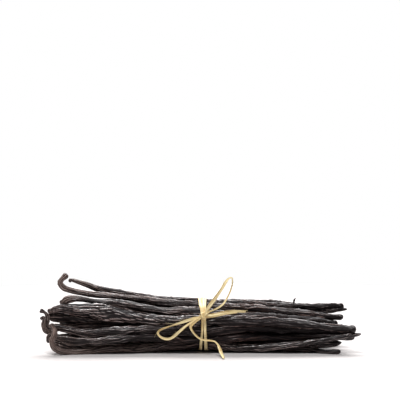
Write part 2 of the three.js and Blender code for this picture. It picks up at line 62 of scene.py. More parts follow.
# Each pod: the ring and the turn of its place in the tie, its full width there, then the places it
# passes from the stem end to the tie and from the tie to the blossom end. A place is x, y, z and,
# where the pod is narrower or wider than usual, its width.
PODS = {
    "high_hook": (
        "outer", 114, 0.0062,
        [(-0.0798, -0.006, 0.0464, 0.0037), (-0.0842, -0.006, 0.0414, 0.004),
         (-0.0822, -0.006, 0.0381, 0.0044), (-0.0776, -0.006, 0.0365, 0.0042),
         (-0.0716, -0.006, 0.0355, 0.0037), (-0.0542, -0.006, 0.033, 0.0038),
         (-0.042, -0.0065, 0.0315, 0.0044), (-0.03, -0.007, 0.03, 0.0052)],
        [(0.027, -0.008, 0.0256, 0.006), (0.048, -0.008, 0.0238, 0.006), (0.066, -0.008, 0.0222, 0.0052),
         (0.078, -0.008, 0.0207, 0.004), (0.086, -0.008, 0.0209, 0.0042)],
    ),
    "high_straight": (
        "outer", 90, 0.0062,
        [(-0.078, 0.002, 0.0408, 0.002), (-0.0786, 0.002, 0.0421, 0.0022),
         (-0.0729, 0.002, 0.0407, 0.003), (-0.0668, 0.002, 0.0385, 0.0038),
         (-0.0607, 0.002, 0.0365, 0.0041), (-0.0485, 0.002, 0.0341, 0.0044), (-0.03, 0.001, 0.0312, 0.005)],
        [(0.018, 0, 0.0276, 0.0056), (0.0394, 0, 0.0266, 0.0052), (0.0606, 0, 0.0261, 0.0048),
         (0.0727, 0, 0.0258, 0.0044), (0.082, 0, 0.0264, 0.0042), (0.0869, 0, 0.0259, 0.0038)],
    ),
    "arched": (
        "outer", 138, 0.0062,
        [(-0.0836, -0.012, 0.0292, 0.0022), (-0.0812, -0.012, 0.0306, 0.004),
         (-0.0776, -0.012, 0.0318, 0.0045), (-0.0719, -0.012, 0.0322, 0.0037),
         (-0.0659, -0.012, 0.0313, 0.0035), (-0.0599, -0.012, 0.0303, 0.0044),
         (-0.048, -0.012, 0.0293, 0.0048), (-0.021, -0.013, 0.0249, 0.0056)],
        [(0.024, -0.014, 0.0219, 0.0056), (0.048, -0.013, 0.0207, 0.0054),
         (0.0659, -0.012, 0.0194, 0.005), (0.0824, -0.011, 0.0172, 0.0034)],
    ),
    "broad": (
        "outer", 162, 0.007,
        [(-0.0908, -0.016, 0.0252, 0.0022), (-0.086, -0.016, 0.0263, 0.0044),
         (-0.0806, -0.016, 0.0267, 0.0056), (-0.0746, -0.016, 0.0264, 0.0066),
         (-0.0687, -0.016, 0.026, 0.0078), (-0.0615, -0.016, 0.0253, 0.0088),
         (-0.0526, -0.016, 0.0241, 0.0088), (-0.0418, -0.016, 0.0224, 0.0078),
         (-0.031, -0.0165, 0.0206, 0.007), (-0.0167, -0.017, 0.0197, 0.0064)],
        [(0.0239, -0.0175, 0.0197, 0.006), (0.0436, -0.018, 0.0188, 0.0058),
         (0.0585, -0.018, 0.0178, 0.005), (0.0711, -0.018, 0.0164, 0.004),
         (0.0865, -0.017, 0.0149, 0.0044), (0.093, -0.0165, 0.0143, 0.005)],
    ),
    "broad_under": (
        "middle", 144, 0.0064,
        [(-0.0886, -0.012, 0.0142, 0.0016), (-0.0906, -0.012, 0.016, 0.0022),
         (-0.0918, -0.012, 0.0184, 0.0028), (-0.091, -0.012, 0.0208, 0.0038),
         (-0.0882, -0.012, 0.0213, 0.0062), (-0.0836, -0.0115, 0.0209, 0.0074),
         (-0.0768, -0.011, 0.0206, 0.007), (-0.057, -0.011, 0.0186, 0.006), (-0.03, -0.012, 0.018, 0.0054)],
        [(0.027, -0.011, 0.014), (0.051, -0.009, 0.012), (0.072, -0.008, 0.0115), (0.086, -0.008, 0.0105)],
    ),
    "knobbed": (
        "outer", 186, 0.0066,
        [(-0.0952, -0.017, 0.0258, 0.0027), (-0.0926, -0.017, 0.0246, 0.0019),
         (-0.0909, -0.017, 0.0226, 0.0022), (-0.0905, -0.017, 0.0196, 0.0024),
         (-0.0911, -0.017, 0.0168, 0.0025), (-0.0899, -0.017, 0.0151, 0.003),
         (-0.0874, -0.017, 0.0155, 0.004), (-0.0842, -0.017, 0.0157, 0.0042),
         (-0.0763, -0.0183, 0.0135, 0.0046), (-0.0705, -0.019, 0.0128, 0.0048),
         (-0.0596, -0.019, 0.0128, 0.0049), (-0.0477, -0.019, 0.0133, 0.0052),
         (-0.031, -0.018, 0.0146, 0.0054)],
        [(0.024, -0.0155, 0.0153, 0.0056), (0.051, -0.011, 0.0136, 0.0054),
         (0.072, -0.0095, 0.0128, 0.005), (0.091, -0.011, 0.012, 0.0038)],
    ),
    "curled": (
        "middle", 180, 0.006,
        [(-0.094, -0.019, 0.0224, 0.0028), (-0.0929, -0.019, 0.0202, 0.0022),
         (-0.0934, -0.019, 0.0172, 0.0024), (-0.0923, -0.019, 0.014, 0.0026),
         (-0.0896, -0.018, 0.0126, 0.0028), (-0.086, -0.016, 0.0142, 0.0028),
         (-0.08, -0.014, 0.0154, 0.0034), (-0.066, -0.0135, 0.0156, 0.0046),
         (-0.042, -0.0135, 0.0158, 0.005)],
        [(0.035, -0.009, 0.0145), (0.07, -0.006, 0.015), (0.084, -0.006, 0.0145)],
    ),
    "shaded": (
        "middle", 216, 0.006,
        [(-0.0843, -0.007, 0.0167, 0.003), (-0.0783, -0.007, 0.0167, 0.0046),
         (-0.0693, -0.007, 0.0163, 0.005), (-0.05, -0.007, 0.0155, 0.0052)],
        [(0.04, -0.008, 0.009), (0.078, -0.007, 0.008)],
    ),
    "front_low": (
        "outer", 210, 0.0066,
        [(-0.0896, -0.02, 0.0068, 0.002), (-0.0901, -0.02, 0.0088, 0.003),
         (-0.0892, -0.02, 0.0109, 0.0032), (-0.0872, -0.0205, 0.0118, 0.0032),
         (-0.0848, -0.021, 0.0107, 0.0034), (-0.0818, -0.021, 0.01, 0.004),
         (-0.0775, -0.021, 0.0091, 0.0046), (-0.0713, -0.021, 0.0081, 0.0048),
         (-0.0594, -0.021, 0.0078, 0.0048), (-0.0476, -0.02, 0.0088, 0.0049),
         (-0.0357, -0.0185, 0.01, 0.0052), (-0.024, -0.017, 0.0096, 0.0056)],
        [(0.024, -0.015, 0.0094, 0.0058), (0.051, -0.0125, 0.0089, 0.0052),
         (0.068, -0.011, 0.0086, 0.0046), (0.084, -0.012, 0.009, 0.004), (0.0924, -0.013, 0.0092, 0.0034)],
    ),
    "front_floor": (
        "outer", 234, 0.0066,
        [(-0.0882, -0.022, 0.0186, 0.0028), (-0.0874, -0.022, 0.0167, 0.0028),
         (-0.0863, -0.0225, 0.0145, 0.0033), (-0.0862, -0.023, 0.0123, 0.0034),
         (-0.087, -0.0235, 0.0102, 0.0032), (-0.0876, -0.024, 0.0079, 0.0032),
         (-0.0868, -0.024, 0.0054, 0.0034), (-0.085, -0.024, 0.0033, 0.0035),
         (-0.082, -0.0237, 0.002, 0.0036), (-0.0776, -0.022, 0.0017, 0.0037),
         (-0.0692, -0.02, 0.002, 0.0039), (-0.0595, -0.0175, 0.00215, 0.0044),
         (-0.0328, -0.013, 0.0027, 0.0056)],
        [(0.024, -0.014, 0.0032, 0.005), (0.051, -0.0165, 0.0047, 0.004),
         (0.07, -0.0175, 0.0074, 0.0034), (0.084, -0.0175, 0.0097, 0.0033),
         (0.091, -0.0175, 0.0109, 0.003), (0.094, -0.0175, 0.0114, 0.0021),
         (0.096, -0.0175, 0.0119, 0.001)],
    ),
    "floor_club": (
        "outer", 258, 0.0062,
        [(-0.088, -0.014, 0.0066, 0.0036), (-0.083, -0.013, 0.0053, 0.0056),
         (-0.0766, -0.013, 0.004, 0.0056), (-0.06, -0.012, 0.003, 0.0056), (-0.042, -0.008, 0.003, 0.0056)],
        [(0.03, -0.006, 0.0028, 0.0056), (0.051, -0.009, 0.0024, 0.005), (0.066, -0.013, 0.002, 0.0042),
         (0.074, -0.018, 0.0015, 0.0025), (0.08, -0.02, 0.0016, 0.0033), (0.0836, -0.02, 0.0016, 0.0029)],
    ),
    "low_tip": (
        "middle", 252, 0.0062,
        [(-0.075, -0.007, 0.004), (-0.045, -0.006, 0.007)],
        [(0.045, -0.006, 0.0064, 0.0052), (0.066, -0.009, 0.0052, 0.0044),
         (0.076, -0.011, 0.0048, 0.0042), (0.0815, -0.011, 0.0054, 0.0036),
         (0.0848, -0.011, 0.0058, 0.0022)],
    ),
    "pointed_top": (
        "middle", 108, 0.0062,
        [(-0.072, -0.002, 0.0245), (-0.045, -0.002, 0.0265)],
        [(0.04, 0, 0.0233), (0.06, 0.001, 0.023, 0.005), (0.076, 0.001, 0.0239, 0.0038),
         (0.083, 0, 0.0242, 0.0028), (0.0864, -0.001, 0.0245, 0.0022), (0.089, -0.001, 0.0248, 0.001)],
    ),
    "floor_middle": (
        "outer", 270, 0.0064,
        [(-0.0865, -0.002, 0.003, 0.0046), (-0.08, 0, 0.003, 0.0052), (-0.045, 0, 0.003)],
        [(0.042, -0.0005, 0.003), (0.064, -0.001, 0.0028)],
    ),
    "back_floor": (
        "outer", 282, 0.0064,
        [(-0.076, 0.009, 0.005), (-0.072, 0.0075, 0.0024), (-0.045, 0.0065, 0.003)],
        [(0.04, 0.005, 0.0031), (0.068, 0.006, 0.0025)],
    ),
    "back_low": (
        "outer", 306, 0.0066,
        [(-0.079, 0.0185, 0.0014), (-0.048, 0.016, 0.0029)],
        [(0.042, 0.015, 0.0031), (0.076, 0.017, 0.0018)],
    ),
    "back_mid": (
        "outer", 330, 0.0068,
        [(-0.076, 0.0244, 0.0084), (-0.073, 0.022, 0.0056), (-0.045, 0.0195, 0.008)],
        [(0.04, 0.0185, 0.008), (0.087, 0.019, 0.007)],
    ),
    "back_broad": (
        "outer", 354, 0.0074,
        [(-0.077, 0.0225, 0.0115), (-0.04, 0.02, 0.013)],
        [(0.04, 0.0195, 0.012), (0.075, 0.022, 0.0115)],
    ),
    "back_high": (
        "outer", 18, 0.0068,
        [(-0.07, 0.0225, 0.011), (-0.071, 0.0225, 0.0145), (-0.064, 0.022, 0.0165),
         (-0.042, 0.0195, 0.018)],
        [(0.04, 0.0185, 0.0175), (0.084, 0.021, 0.0105)],
    ),
    "back_top": (
        "outer", 42, 0.0068,
        [(-0.078, 0.017, 0.018), (-0.04, 0.0145, 0.0235)],
        [(0.035, 0.0145, 0.0235), (0.076, 0.0175, 0.02)],
    ),
    "top_back": (
        "outer", 66, 0.0068,
        [(-0.074, 0.009, 0.0223), (-0.045, 0.008, 0.027)],
        [(0.03, 0.0075, 0.0266), (0.06, 0.008, 0.0246), (0.078, 0.009, 0.0215)],
    ),
    "core_top": (
        "middle", 72, 0.0064,
        [(-0.079, 0.006, 0.0195), (-0.045, 0.004, 0.023)],
        [(0.04, 0.004, 0.021), (0.07, 0.003, 0.018, 0.005), (0.081, 0.002, 0.018, 0.004)],
    ),
    "core_high": (
        "middle", 36, 0.0064,
        [(-0.072, 0.013, 0.0175), (-0.045, 0.0115, 0.0205)],
        [(0.045, 0.0115, 0.02), (0.08, 0.014, 0.015)],
    ),
    "core_back": (
        "middle", 0, 0.0064,
        [(-0.08, 0.014, 0.013), (-0.045, 0.014, 0.0145)],
        [(0.045, 0.013, 0.014), (0.088, 0.009, 0.0125)],
    ),
    "core_low": (
        "middle", 324, 0.0064,
        [(-0.075, 0.015, 0.0065), (-0.045, 0.0135, 0.0095)],
        [(0.045, 0.013, 0.0095), (0.082, 0.013, 0.0085)],
    ),
    "core_floor": (
        "middle", 288, 0.0062,
        [(-0.082, 0.005, 0.0055), (-0.045, 0.006, 0.0075)],
        [(0.045, 0.006, 0.0075), (0.076, 0.007, 0.0055)],
    ),
    "inner_front": (
        "inner", 180, 0.0064,
        [(-0.088, -0.011, 0.0092, 0.0034), (-0.081, -0.009, 0.009, 0.0046),
         (-0.074, -0.006, 0.0096, 0.0048), (-0.045, -0.005, 0.0125)],
        [(0.045, -0.006, 0.0125), (0.085, -0.007, 0.009)],
    ),
    "inner_top": (
        "inner", 60, 0.0064,
        [(-0.084, 0, 0.0215), (-0.045, 0.001, 0.0195)],
        [(0.045, 0.001, 0.0185), (0.079, 0.001, 0.0185)],
    ),
    "inner_low": (
        "inner", 300, 0.0064,
        [(-0.081, 0.004, 0.014), (-0.045, 0.004, 0.014)],
        [(0.045, 0.003, 0.013), (0.08, 0.003, 0.012)],
    ),
}

# The pieces: how many sides their pods have, and which pods lie in each.
LAYERS = {
    "pods_top": (112, ["high_hook", "high_straight", "arched", "pointed_top"]),
    "pods_front": (112, ["broad", "knobbed", "curled", "front_low"]),
    "pods_low": (112, ["front_floor", "floor_club", "low_tip", "shaded"]),
    "pods_back": (72, ["back_mid", "back_broad", "back_high", "back_top", "top_back"]),
    "pods_under": (72, ["back_low", "back_floor", "floor_middle"]),
    "pods_heart": (48, ["broad_under", "core_top", "core_high", "core_back", "core_low", "core_floor",
                        "inner_front", "inner_top", "inner_low"]),
}

# What sets single pods apart. slant is how fast the folds wind round the pod, in turns per metre;
# the painted sheen entry says how much painted sheen, a grey highlight, its ridges carry at shares of its
# length, set low along stretches that lie in shade; tan how red-brown its skin is, pale how far the brown of
# its stem end runs down the pod, in metres, smooth how much shallower the folds are on that stretch, and end
# the shape of its blossom end.
PLAIN_CHARACTER = {
    "slant": 0.0, "painted_sheen": [(0, 0.4), (1, 0.4)], "tan": 0.3, "pale": 0.006, "smooth": 0.2, "end": "blunt",
}
CHARACTER = {
    "high_hook": {
        "painted_sheen": [(0, 0.9), (0.4, 0.5), (0.6, 0.3), (0.8, 0.2), (1, 0.8)], "tan": 1.6,
        "pale": 0.034, "smooth": 0.6,
    },
    "high_straight": {
        "painted_sheen": [(0, 1), (0.4, 0.8), (0.7, 0.35), (1, 0.9)], "tan": 1.0,
        "slant": 3.0, "pale": 0.02, "smooth": 0.6, "end": "knobby",
    },
    "arched": {
        "painted_sheen": [(0, 0.9), (0.3, 1.2), (0.5, 0.8), (0.7, 0.3), (0.8, 0.2), (1, 0.7)], "tan": 1.2,
        "pale": 0.012, "smooth": 0.6, "end": "knobby",
    },
    "broad": {
        "painted_sheen": [(0, 0.7), (0.25, 1), (0.42, 1.2), (0.55, 0.5), (0.68, 0.15), (0.85, 0.3), (1, 1)],
        "tan": 1.4, "slant": 4.0, "pale": 0.004, "end": "knobby",
    },
    "broad_under": {"painted_sheen": [(0, 0.1), (1, 0)], "tan": 0.1, "pale": 0.02},
    "knobbed": {"painted_sheen": [(0, 0.9), (0.2, 0.4), (0.3, 1.2), (0.38, 0.3), (0.6, 0.05), (1, 0)], "pale": 0.026},
    "curled": {"painted_sheen": [(0, 0.5), (0.2, 0.1), (1, 0)], "tan": 0.6, "pale": 0.026},
    "shaded": {"painted_sheen": [(0, 0.1), (1, 0)], "tan": 0.2, "pale": 0.004},
    "inner_front": {"painted_sheen": [(0, 0.6), (0.3, 0.2), (1, 0)]},
    "front_low": {
        "painted_sheen": [(0, 0.9), (0.2, 0.7), (0.33, 0.2), (0.6, 0.05), (0.78, 0), (0.9, 0.1), (1, 1.4)],
        "tan": 0.7, "slant": -4.0, "pale": 0.024,
    },
    "front_floor": {
        "painted_sheen": [(0, 0.8), (0.15, 0.9), (0.35, 0.6), (0.45, 0.1), (0.55, 0.3), (0.7, 1.1), (1, 1.6)],
        "tan": 0.8, "pale": 0.08, "smooth": 0.6, "end": "drawn",
    },
    "floor_club": {"painted_sheen": [(0, 1), (0.4, 0.8), (0.55, 0.2), (0.85, 0.2), (1, 1)], "tan": 0.6, "pale": 0.05},
    "pointed_top": {"painted_sheen": [(0, 0.8), (1, 0.9)], "tan": 0.2, "end": "drawn"},
    "low_tip": {"painted_sheen": [(0, 0.1), (0.75, 0.2), (0.9, 1), (1, 1.2)], "end": "drawn"},
}

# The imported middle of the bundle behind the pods: x, y and z of the section and its half width
# and half height.
CORE = [
    (-0.058, 0.001, 0.014, 0.008, 0.005), (-0.04, 0.001, 0.015, 0.012, 0.008),
    (-0.02, 0, 0.0156, 0.014, 0.0096), (0.0018, 0, 0.0161, 0.015, 0.01),
    (0.024, 0, 0.0148, 0.014, 0.0094), (0.044, 0, 0.0134, 0.012, 0.0076),
    (0.06, 0.001, 0.012, 0.008, 0.005),
]
CORE_SHARE = 0.8  # how much of that section the core fills
SCRAP = [  # the dried scrap of stem that stands up off the top
    (0.0562, 0.0008, 0.0262), (0.0566, 0.0006, 0.0284), (0.0569, 0.0006, 0.0299), (0.0578, 0.0006, 0.0315),
]

# ---- where the raffia runs, in metres ------------------------------------------
KNOT = (0.0021, -0.0214, 0.0226)
FRONT = (0, -1, 0.15)  # the way the broad side of the bow's strips faces
KNOT_WRAPS = [  # lean in degrees, half height, half depth, width, shift
    (18, 0.0022, 0.0015, 0.0024, (0, 0, 0.0003)),
    (-38, 0.0023, 0.0014, 0.0017, (0.0005, 0, 0.0006)),
    (58, 0.0021, 0.0012, 0.0015, (-0.0006, 0, -0.0005)),
]

# Where each strand of the tie lies along x, over its turn round the bundle: 0 is the back, 90 the
# top, 163 the knot and 270 the bottom. The two lie side by side over the top, gather in the knot
# and part under it.
STRANDS = {
    "left": [(0, 0.0007), (45, 0.0003), (90, 0), (130, 0.0005), (163, 0.0016), (180, 0.0014),
             (215, 0.0005), (260, -0.0002), (320, 0.0004), (360, 0.0007)],
    "right": [(0, 0.0029), (45, 0.0027), (90, 0.0024), (130, 0.0025), (163, 0.0027), (180, 0.003),
              (215, 0.0035), (260, 0.0042), (320, 0.0034), (360, 0.0029)],
}
STRAND_SPREAD = {  # its width there, as a share of the band width
    "left": [(0, 0.85), (60, 0.95), (90, 1), (130, 0.85), (163, 0.5), (180, 0.5), (230, 0.62),
             (270, 0.6), (360, 0.85)],
    "right": [(0, 0.85), (60, 0.95), (90, 1), (130, 0.85), (163, 0.55), (180, 0.6), (230, 0.75),
              (270, 0.8), (360, 0.85)],
}
STRAND_GAPS = {"left": 0.0002, "right": 0.00036}  # how far each lies outside the pods
STRAND_CURL = ((0, 0.35), (1, 0.35))

# The strips of the bow: their width as a share of the loop width, the places they pass and, at
# shares of their length, how far their edges are bent round, in radians, how far they are turned
# about their line, in degrees, and how their width changes. tone is how much darker a strip is.
BOW = {
    "lying": (1, {
        "places": [
            (0.001, -0.0216, 0.0224), (-0.0035, -0.0221, 0.0216), (-0.0089, -0.0222, 0.0199),
            (-0.0149, -0.022, 0.0179), (-0.0202, -0.022, 0.0162), (-0.0239, -0.022, 0.0146),
            (-0.025, -0.0222, 0.0128), (-0.0233, -0.0225, 0.0106), (-0.0198, -0.0227, 0.0094),
            (-0.0164, -0.0228, 0.0103), (-0.0128, -0.0228, 0.0134), (-0.0079, -0.0228, 0.0174),
            (-0.0024, -0.0225, 0.0208), (0.0014, -0.022, 0.022)],
        "curl": ((0, 0.7), (0.5, 1.1), (1, 0.7)),
        "roll": ((0, 0), (0.25, 12), (0.38, 62), (0.5, 8), (0.7, -12), (0.85, 22), (1, 0)),
        "taper": ((0, 0.75), (0.12, 0.95), (0.3, 0.6), (0.38, 0.95), (0.5, 0.7), (0.62, 1), (0.8, 0.85),
                  (1, 0.6)),
    }),
    "standing": (1, {
        "places": [
            (0.0024, -0.0214, 0.023), (0.0057, -0.0194, 0.0288), (0.0084, -0.0176, 0.0322),
            (0.013, -0.0146, 0.0385), (0.0171, -0.0126, 0.0442), (0.0189, -0.0124, 0.0448),
            (0.0193, -0.0128, 0.0418), (0.0181, -0.0136, 0.0372), (0.0163, -0.015, 0.0332),
            (0.0134, -0.0172, 0.0292), (0.0094, -0.019, 0.0269), (0.0052, -0.0206, 0.0252),
            (0.0026, -0.0216, 0.0228)],
        "curl": ((0, 0.5), (0.5, 1.2), (1, 1.3)),
        "roll": ((0, 5), (0.3, -14), (0.5, 60), (0.6, 20), (0.75, -25), (0.9, 15), (1, 0)),
        "taper": ((0, 0.9), (0.15, 1.15), (0.4, 1.1), (0.5, 0.75), (0.62, 0.6), (0.8, 0.7), (0.9, 0.55),
                  (1, 0.7)),
    }),
    "short_end": (0.95, {
        "places": [
            (0.0024, -0.0216, 0.023), (0.0089, -0.0211, 0.0239), (0.0149, -0.0202, 0.0251),
            (0.0209, -0.0188, 0.0255), (0.0272, -0.0178, 0.0252)],
        "curl": ((0, 0.9), (1, 1.4)), "roll": ((0, 10), (1, -8)), "taper": ((0, 0.9), (0.5, 1), (1, 0.9)),
    }),
    "short_end_twin": (0.62, {
        "places": [
            (0.0026, -0.0214, 0.022), (0.0095, -0.0212, 0.0229), (0.0155, -0.0203, 0.0241),
            (0.0222, -0.0188, 0.0247)],
        "curl": ((0, 0.9), (1, 1.2)), "roll": ((0, -10), (1, 25)), "taper": ((0, 0.9), (0.7, 1), (1, 0.7)),
        "tone": 0.1,
    }),
    "standing_root": (0.6, {
        "places": [
            (0.0022, -0.0212, 0.0232), (0.0046, -0.0202, 0.0272), (0.0076, -0.0184, 0.0306),
            (0.0102, -0.017, 0.0338)],
        "taper": ((0, 1), (0.7, 0.9), (1, 0.3)), "tone": 0.05,
    }),
}
FRAYED = [  # strip, how many loose fibres, the longest, and whether they stand off its cut end
    ("lying", 5, 0.006, False), ("standing", 4, 0.006, False),
    ("short_end", 3, 0.006, False), ("short_end", 5, 0.0018, True),
]
LONG_TAIL = [
    (-0.0004, -0.0238, 0.0216), (-0.0026, -0.0239, 0.0201), (-0.0045, -0.0239, 0.0184),
    (-0.0054, -0.0238, 0.0166), (-0.0044, -0.0237, 0.0143), (-0.0024, -0.0238, 0.0117),
    (0.0001, -0.024, 0.0097), (0.0026, -0.0242, 0.0089), (0.0056, -0.0246, 0.0087),
    (0.0086, -0.0254, 0.0082), (0.0102, -0.0269, 0.0069), (0.0114, -0.0295, 0.0051),
    (0.0126, -0.035, 0.0027), (0.0139, -0.042, 0.00075),
]
TAIL_ACROSS = 0.0014  # the long tail is rolled up to about this width and thickness
TAIL_UNROLLED = 1.6  # how much wider its strip is before that
TAIL_CURL = ((0, 1.2), (0.4, 1.7), (0.75, 1.2), (1, 1.5))
TAIL_ROLL = ((0, 20), (0.2, -35), (0.4, 10), (0.6, 40), (0.72, -20), (1, 0))
TAIL_TAPER = (
    (0, 0.7), (0.12, 1), (0.3, 0.65), (0.42, 0.75), (0.6, 0.62), (0.75, 1.05), (0.9, 0.95), (1, 0.7),
)

# ---- the stage, in metres --------------------------------------------------------
FLOOR_RADIUS = 0.4
SENSOR_WIDTH = 36  # of the camera, in millimetres
CLIP = (0.01, 50)  # the nearest and the farthest that the camera sees
LIGHTS = {  # each softbox: its place, its target, and its width and height
    "back": ((0.05, 0.9, 1.1), (0, 0, 0), (1.4, 0.8)),
    "top": ((-0.1, -0.2, 0.8), (0, 0, 0), (0.5, 0.12)),
    "front": ((-0.15, -0.34, 0.84), (0, 0, 0.02), (0.35, 0.12)),
}

# ---- how fine the meshes are, and where the draws of chance start -----------------
LINE_FINENESS = 60  # points on a smooth line from one place to the next
RING_SPACING = 0.0013  # between the rings of a pod
END_ZONE = 0.005  # length of pod end that is modelled finely
END_SPACING = 0.00026
CORE_RINGS, CORE_SIDES = 90, 72
SCRAP_RINGS, SCRAP_SIDES = 24, 14
STRIP_SPACING, STRIP_ACROSS = 0.0004, 11  # along a leaf strip, and points across each of its sides
HAIR_RINGS, HAIR_SIDES = 12, 5
TIE_POINTS = 96  # round the bundle
WRAP_PLACES = 12  # round the knot
FLOOR_SIDES = 96
FLOOR_CLEARANCE = 0.00005  # no pod comes nearer to the floor
MAP_MARGIN, MAP_TIP = 0.004, 0.001  # clear rim of a piece's map, beside its walls and its closed ends
MAP_GAP = 0.016  # clear share of a skin's band of the map, at either side
SEED = 41  # a pod adds its number in PODS to it
SCRAP_SEED, LOOSE_END_SEED, TIE_SEED = 140, 241, 341

# ---- how fine the patterns are, in grains per metre along, across and through --------
DETAILED = {"detail": 3, "roughness": 0.6}  # how the noise goes on within a grain
GRITTY = {"detail": 2, "roughness": 0.6}
PLAIN = {"detail": 2, "roughness": 0.5}
POD_STREAKS, POD_PATCHES, POD_GRIT = (80, 1100, 1100), (26, 170, 170), (600, 2400, 2400)
CORE_STREAKS = (60, 900, 900)
STRAW_FIBRES, STRAW_STREAKS, STRAW_STAINS = (35, 5200, 5200), (70, 1100, 1100), (150, 300, 300)
FLOOR_MOTTLE = (9, 9, 9)
MOTTLE_SHADE = 0.985  # how light the darkest spots of the floor are
POD_RELIEF, STRAW_RELIEF = 0.0005, 0.00012  # how high they stand where they are whitest, in metres
REST_APART = 0.4  # how far apart the pods lie in the space that their material is painted in

# ---- the skin of a pod, in metres and in radii ---------------------------------
# Where three numbers say how something strays, they are how far it does so and the shortest and the
# longest way over which it goes to and fro.
WAVES = 4  # how many waves such a stray line is the sum of
UNEVEN_ROUNDS = (1, 2, 3)  # how many times each wave of an uneven field comes round the pod
FULL_RADIUS = 0.0031  # the folds are given for a pod this thick and shrink on thinner stretches
MOST_FOLDED = 1.2  # on thicker ones they are at most this many times as deep
FLATNESS = 0.3  # past that radius a pod is thicker by only this share of what it is wider by
SWAY = (0.0002, 0.012, 0.05)  # from its smooth line
GIRTH = (0.035, 0.012, 0.05)  # as a share of its radius
OVAL, LOBED = (0.04, 0.1), (0.02, 0.05)  # least and most that its section is two- and three-lobed
OVAL_TURN, LOBED_TURN = (0.5, 0.05, 0.15), (0.4, 0.05, 0.15)  # in radians
PLEATS = [(5, 0.0006), (9, 0.0004)]  # how many ridges round the pod, and how high
PLEAT_DRIFT, PLEAT_UNEVEN = (0.8, 0.03, 0.11), (2, 0.02, 0.09)  # in radians
PLEAT_LEAST, PLEAT_FADE = 0.15, (0.012, 0.06)  # they fade to this share, over such lengths
CREASE_SHARPNESS = 0.75  # under 1 the valleys between ridges are sharp and the ridges round
WRINKLES = [(16, 0.04, 0.0009), (26, 0.04, 0.0009), (44, 0.03, 0.0005)]  # how many round it, run, depth
WRINKLE_DRIFT, WRINKLE_UNEVEN = (0.5, 0.02, 0.09), (1.5, 0.02, 0.07)  # in radians
WRINKLE_STEEPNESS = 1.6  # over 1 the ridges between wrinkles are broad and their creases narrow
CREASES = [  # how many, half width, depth, shortest and longest run as shares of the pod
    (4, 0.0005, 0.0009, 0.3, 0.9),
    (10, 0.0003, 0.0006, 0.08, 0.35),
]
CREASE_DRIFT = (0.3, 0.02, 0.09)  # in radians
CREASE_WIDTHS, CREASE_DEPTHS = (0.7, 1.3), (0.5, 1.2)  # least and most, as shares of the usual
CREASE_FADE, CREASE_FALL = 0.6, 1.4  # how bluntly a crease ends, and how steep its sides are
DEEPEST = 0.42  # no fold is deeper than this share of the radius
FOLD_LIFT = 0.7  # the skin stands out between the folds by this share of their mean depth
SHRIVELLED, SHRIVEL_REACH = 1.6, 0.008  # how much deeper the folds are at the blossom end
FOLD_FULL = 0.0014  # a fold this deep gets the full painted shade
CREST_FULL = 0.0002  # a ridge that stands out by this much from the skin beside it gets the full painted sheen of a crest
CREST_REACH = 24  # the skin beside it is this part of the way round, to either side
LEAST_SHARE = 0.2  # on thinner stretches both shrink with the radius, but no further than to this share
PALE_FALL = 1.5  # how steeply the brown of the stem end fades
BUTTON = [  # distance from the stem end in radii, share of the usual radius
    (0, 0.6), (0.14, 0.84), (0.45, 1.04), (0.9, 1.1), (1.5, 0.98), (2.3, 0.85), (3.6, 1),
]
BUTTON_DARK, BUTTON_REACH = 0.7, 0.003  # how much darker the button is than the stem, and how far
CUP = [(0.8, 0.02), (0.6, 0.14), (0.34, 0.24), (0.12, 0.26)]  # its scar: radius and depth, in radii
SCAR_EDGE = 0.7  # the scar is painted dark from this share of the radius inwards
BLOSSOM_ENDS = {  # distance from the blossom end in radii, share of the usual radius
    "blunt": [(0, 0.2), (0.05, 0.42), (0.2, 0.68), (0.5, 0.9), (1.0, 1.03), (1.8, 1)],
    "knobby": [
        (0, 0.24), (0.06, 0.5), (0.25, 0.84), (0.6, 1.1), (1.1, 1.12), (1.8, 0.82), (2.6, 0.96), (3.4, 1),
    ],
    "drawn": [(0, 0.24), (0.15, 0.4), (0.6, 0.58), (1.2, 0.8), (2.2, 1)],
}

# ---- the skin of the core and the scrap ------------------------------------------
CORE_RIDGES, CORE_ROUND, CORE_RIDGE = 14, 0.9, 0.14  # how many ridges, the size between them, their height
CORE_DRIFT = (0.5, 0.03, 0.1)  # in radians
SCRAP_RADIUS = [(0, 0.0011), (0.25, 0.0006), (0.7, 0.00055), (1, 0.00018)]  # at shares of its length
SCRAP_RIBS, SCRAP_RIB, SCRAP_RIB_TURN = 5, 0.16, 1  # how many ribs, their height, and where they start
SCRAP_GIRTH = (0.1, 0.001, 0.003)  # as a share of its radius
SCRAP_FLATNESS = 0.6
SCRAP_REST = (0, 0, 3)  # where it lies in the space that its material is painted in
SCRAP_MARKS, SCRAP_LOOKS = (0.1, 0.8, 0), (0.6, 0.8, 0.5)  # the values that its material reads

# ---- the leaf strips ---------------------------------------------------------------
STRIP_GIRTH = (0.05, 0.004, 0.02)  # as a share of its width
EDGE_THINNING, EDGE_SHARPNESS = 0.45, 7  # how much thinner the edges are, how narrow their ochre painted shade is
FIBRE_RELIEF = 0.3  # height of the fibres, as a share of the strip's half thickness
FIBRE_COUNTS = (7, 12, 19)  # of the waves across a strip that its fibres are the sum of
FIBRE_DRIFT = (0.8, 0.006, 0.03)  # in radians
LEAST_BEND = 1e-3  # in radians, added so that a flat strip has a radius too
STRIPS_APART = 5  # the strips start at places up to this far apart in the space that they are painted in
HAIR_ACROSS = 0.00016
HAIR_STEPS = (0, 0.35, 0.7, 1)  # shares of a loose fibre's length at which its line is set out
HAIR_BEND, HAIR_TAPER = 0.22, 0.7  # how far it bends off, of its length, and how much its tip is thinner
HAIR_LEAN = (0.05, 0.35)  # how steeply it leaves the strip, least and most
HAIR_LENGTHS, HAIR_WIDTHS = (0.35, 1), (0.6, 1.1)  # least and most, as shares of the usual
HAIR_MARKS = (0.2, 0.05, 0)  # the values that its material reads
TIE_REACH = 0.0035  # the tie fits the pods over this much to either side of its middle
WRAP_THICKNESS, WRAP_TONE = 1.2, 0.2  # how many times as thick as the other strips, and how much darker


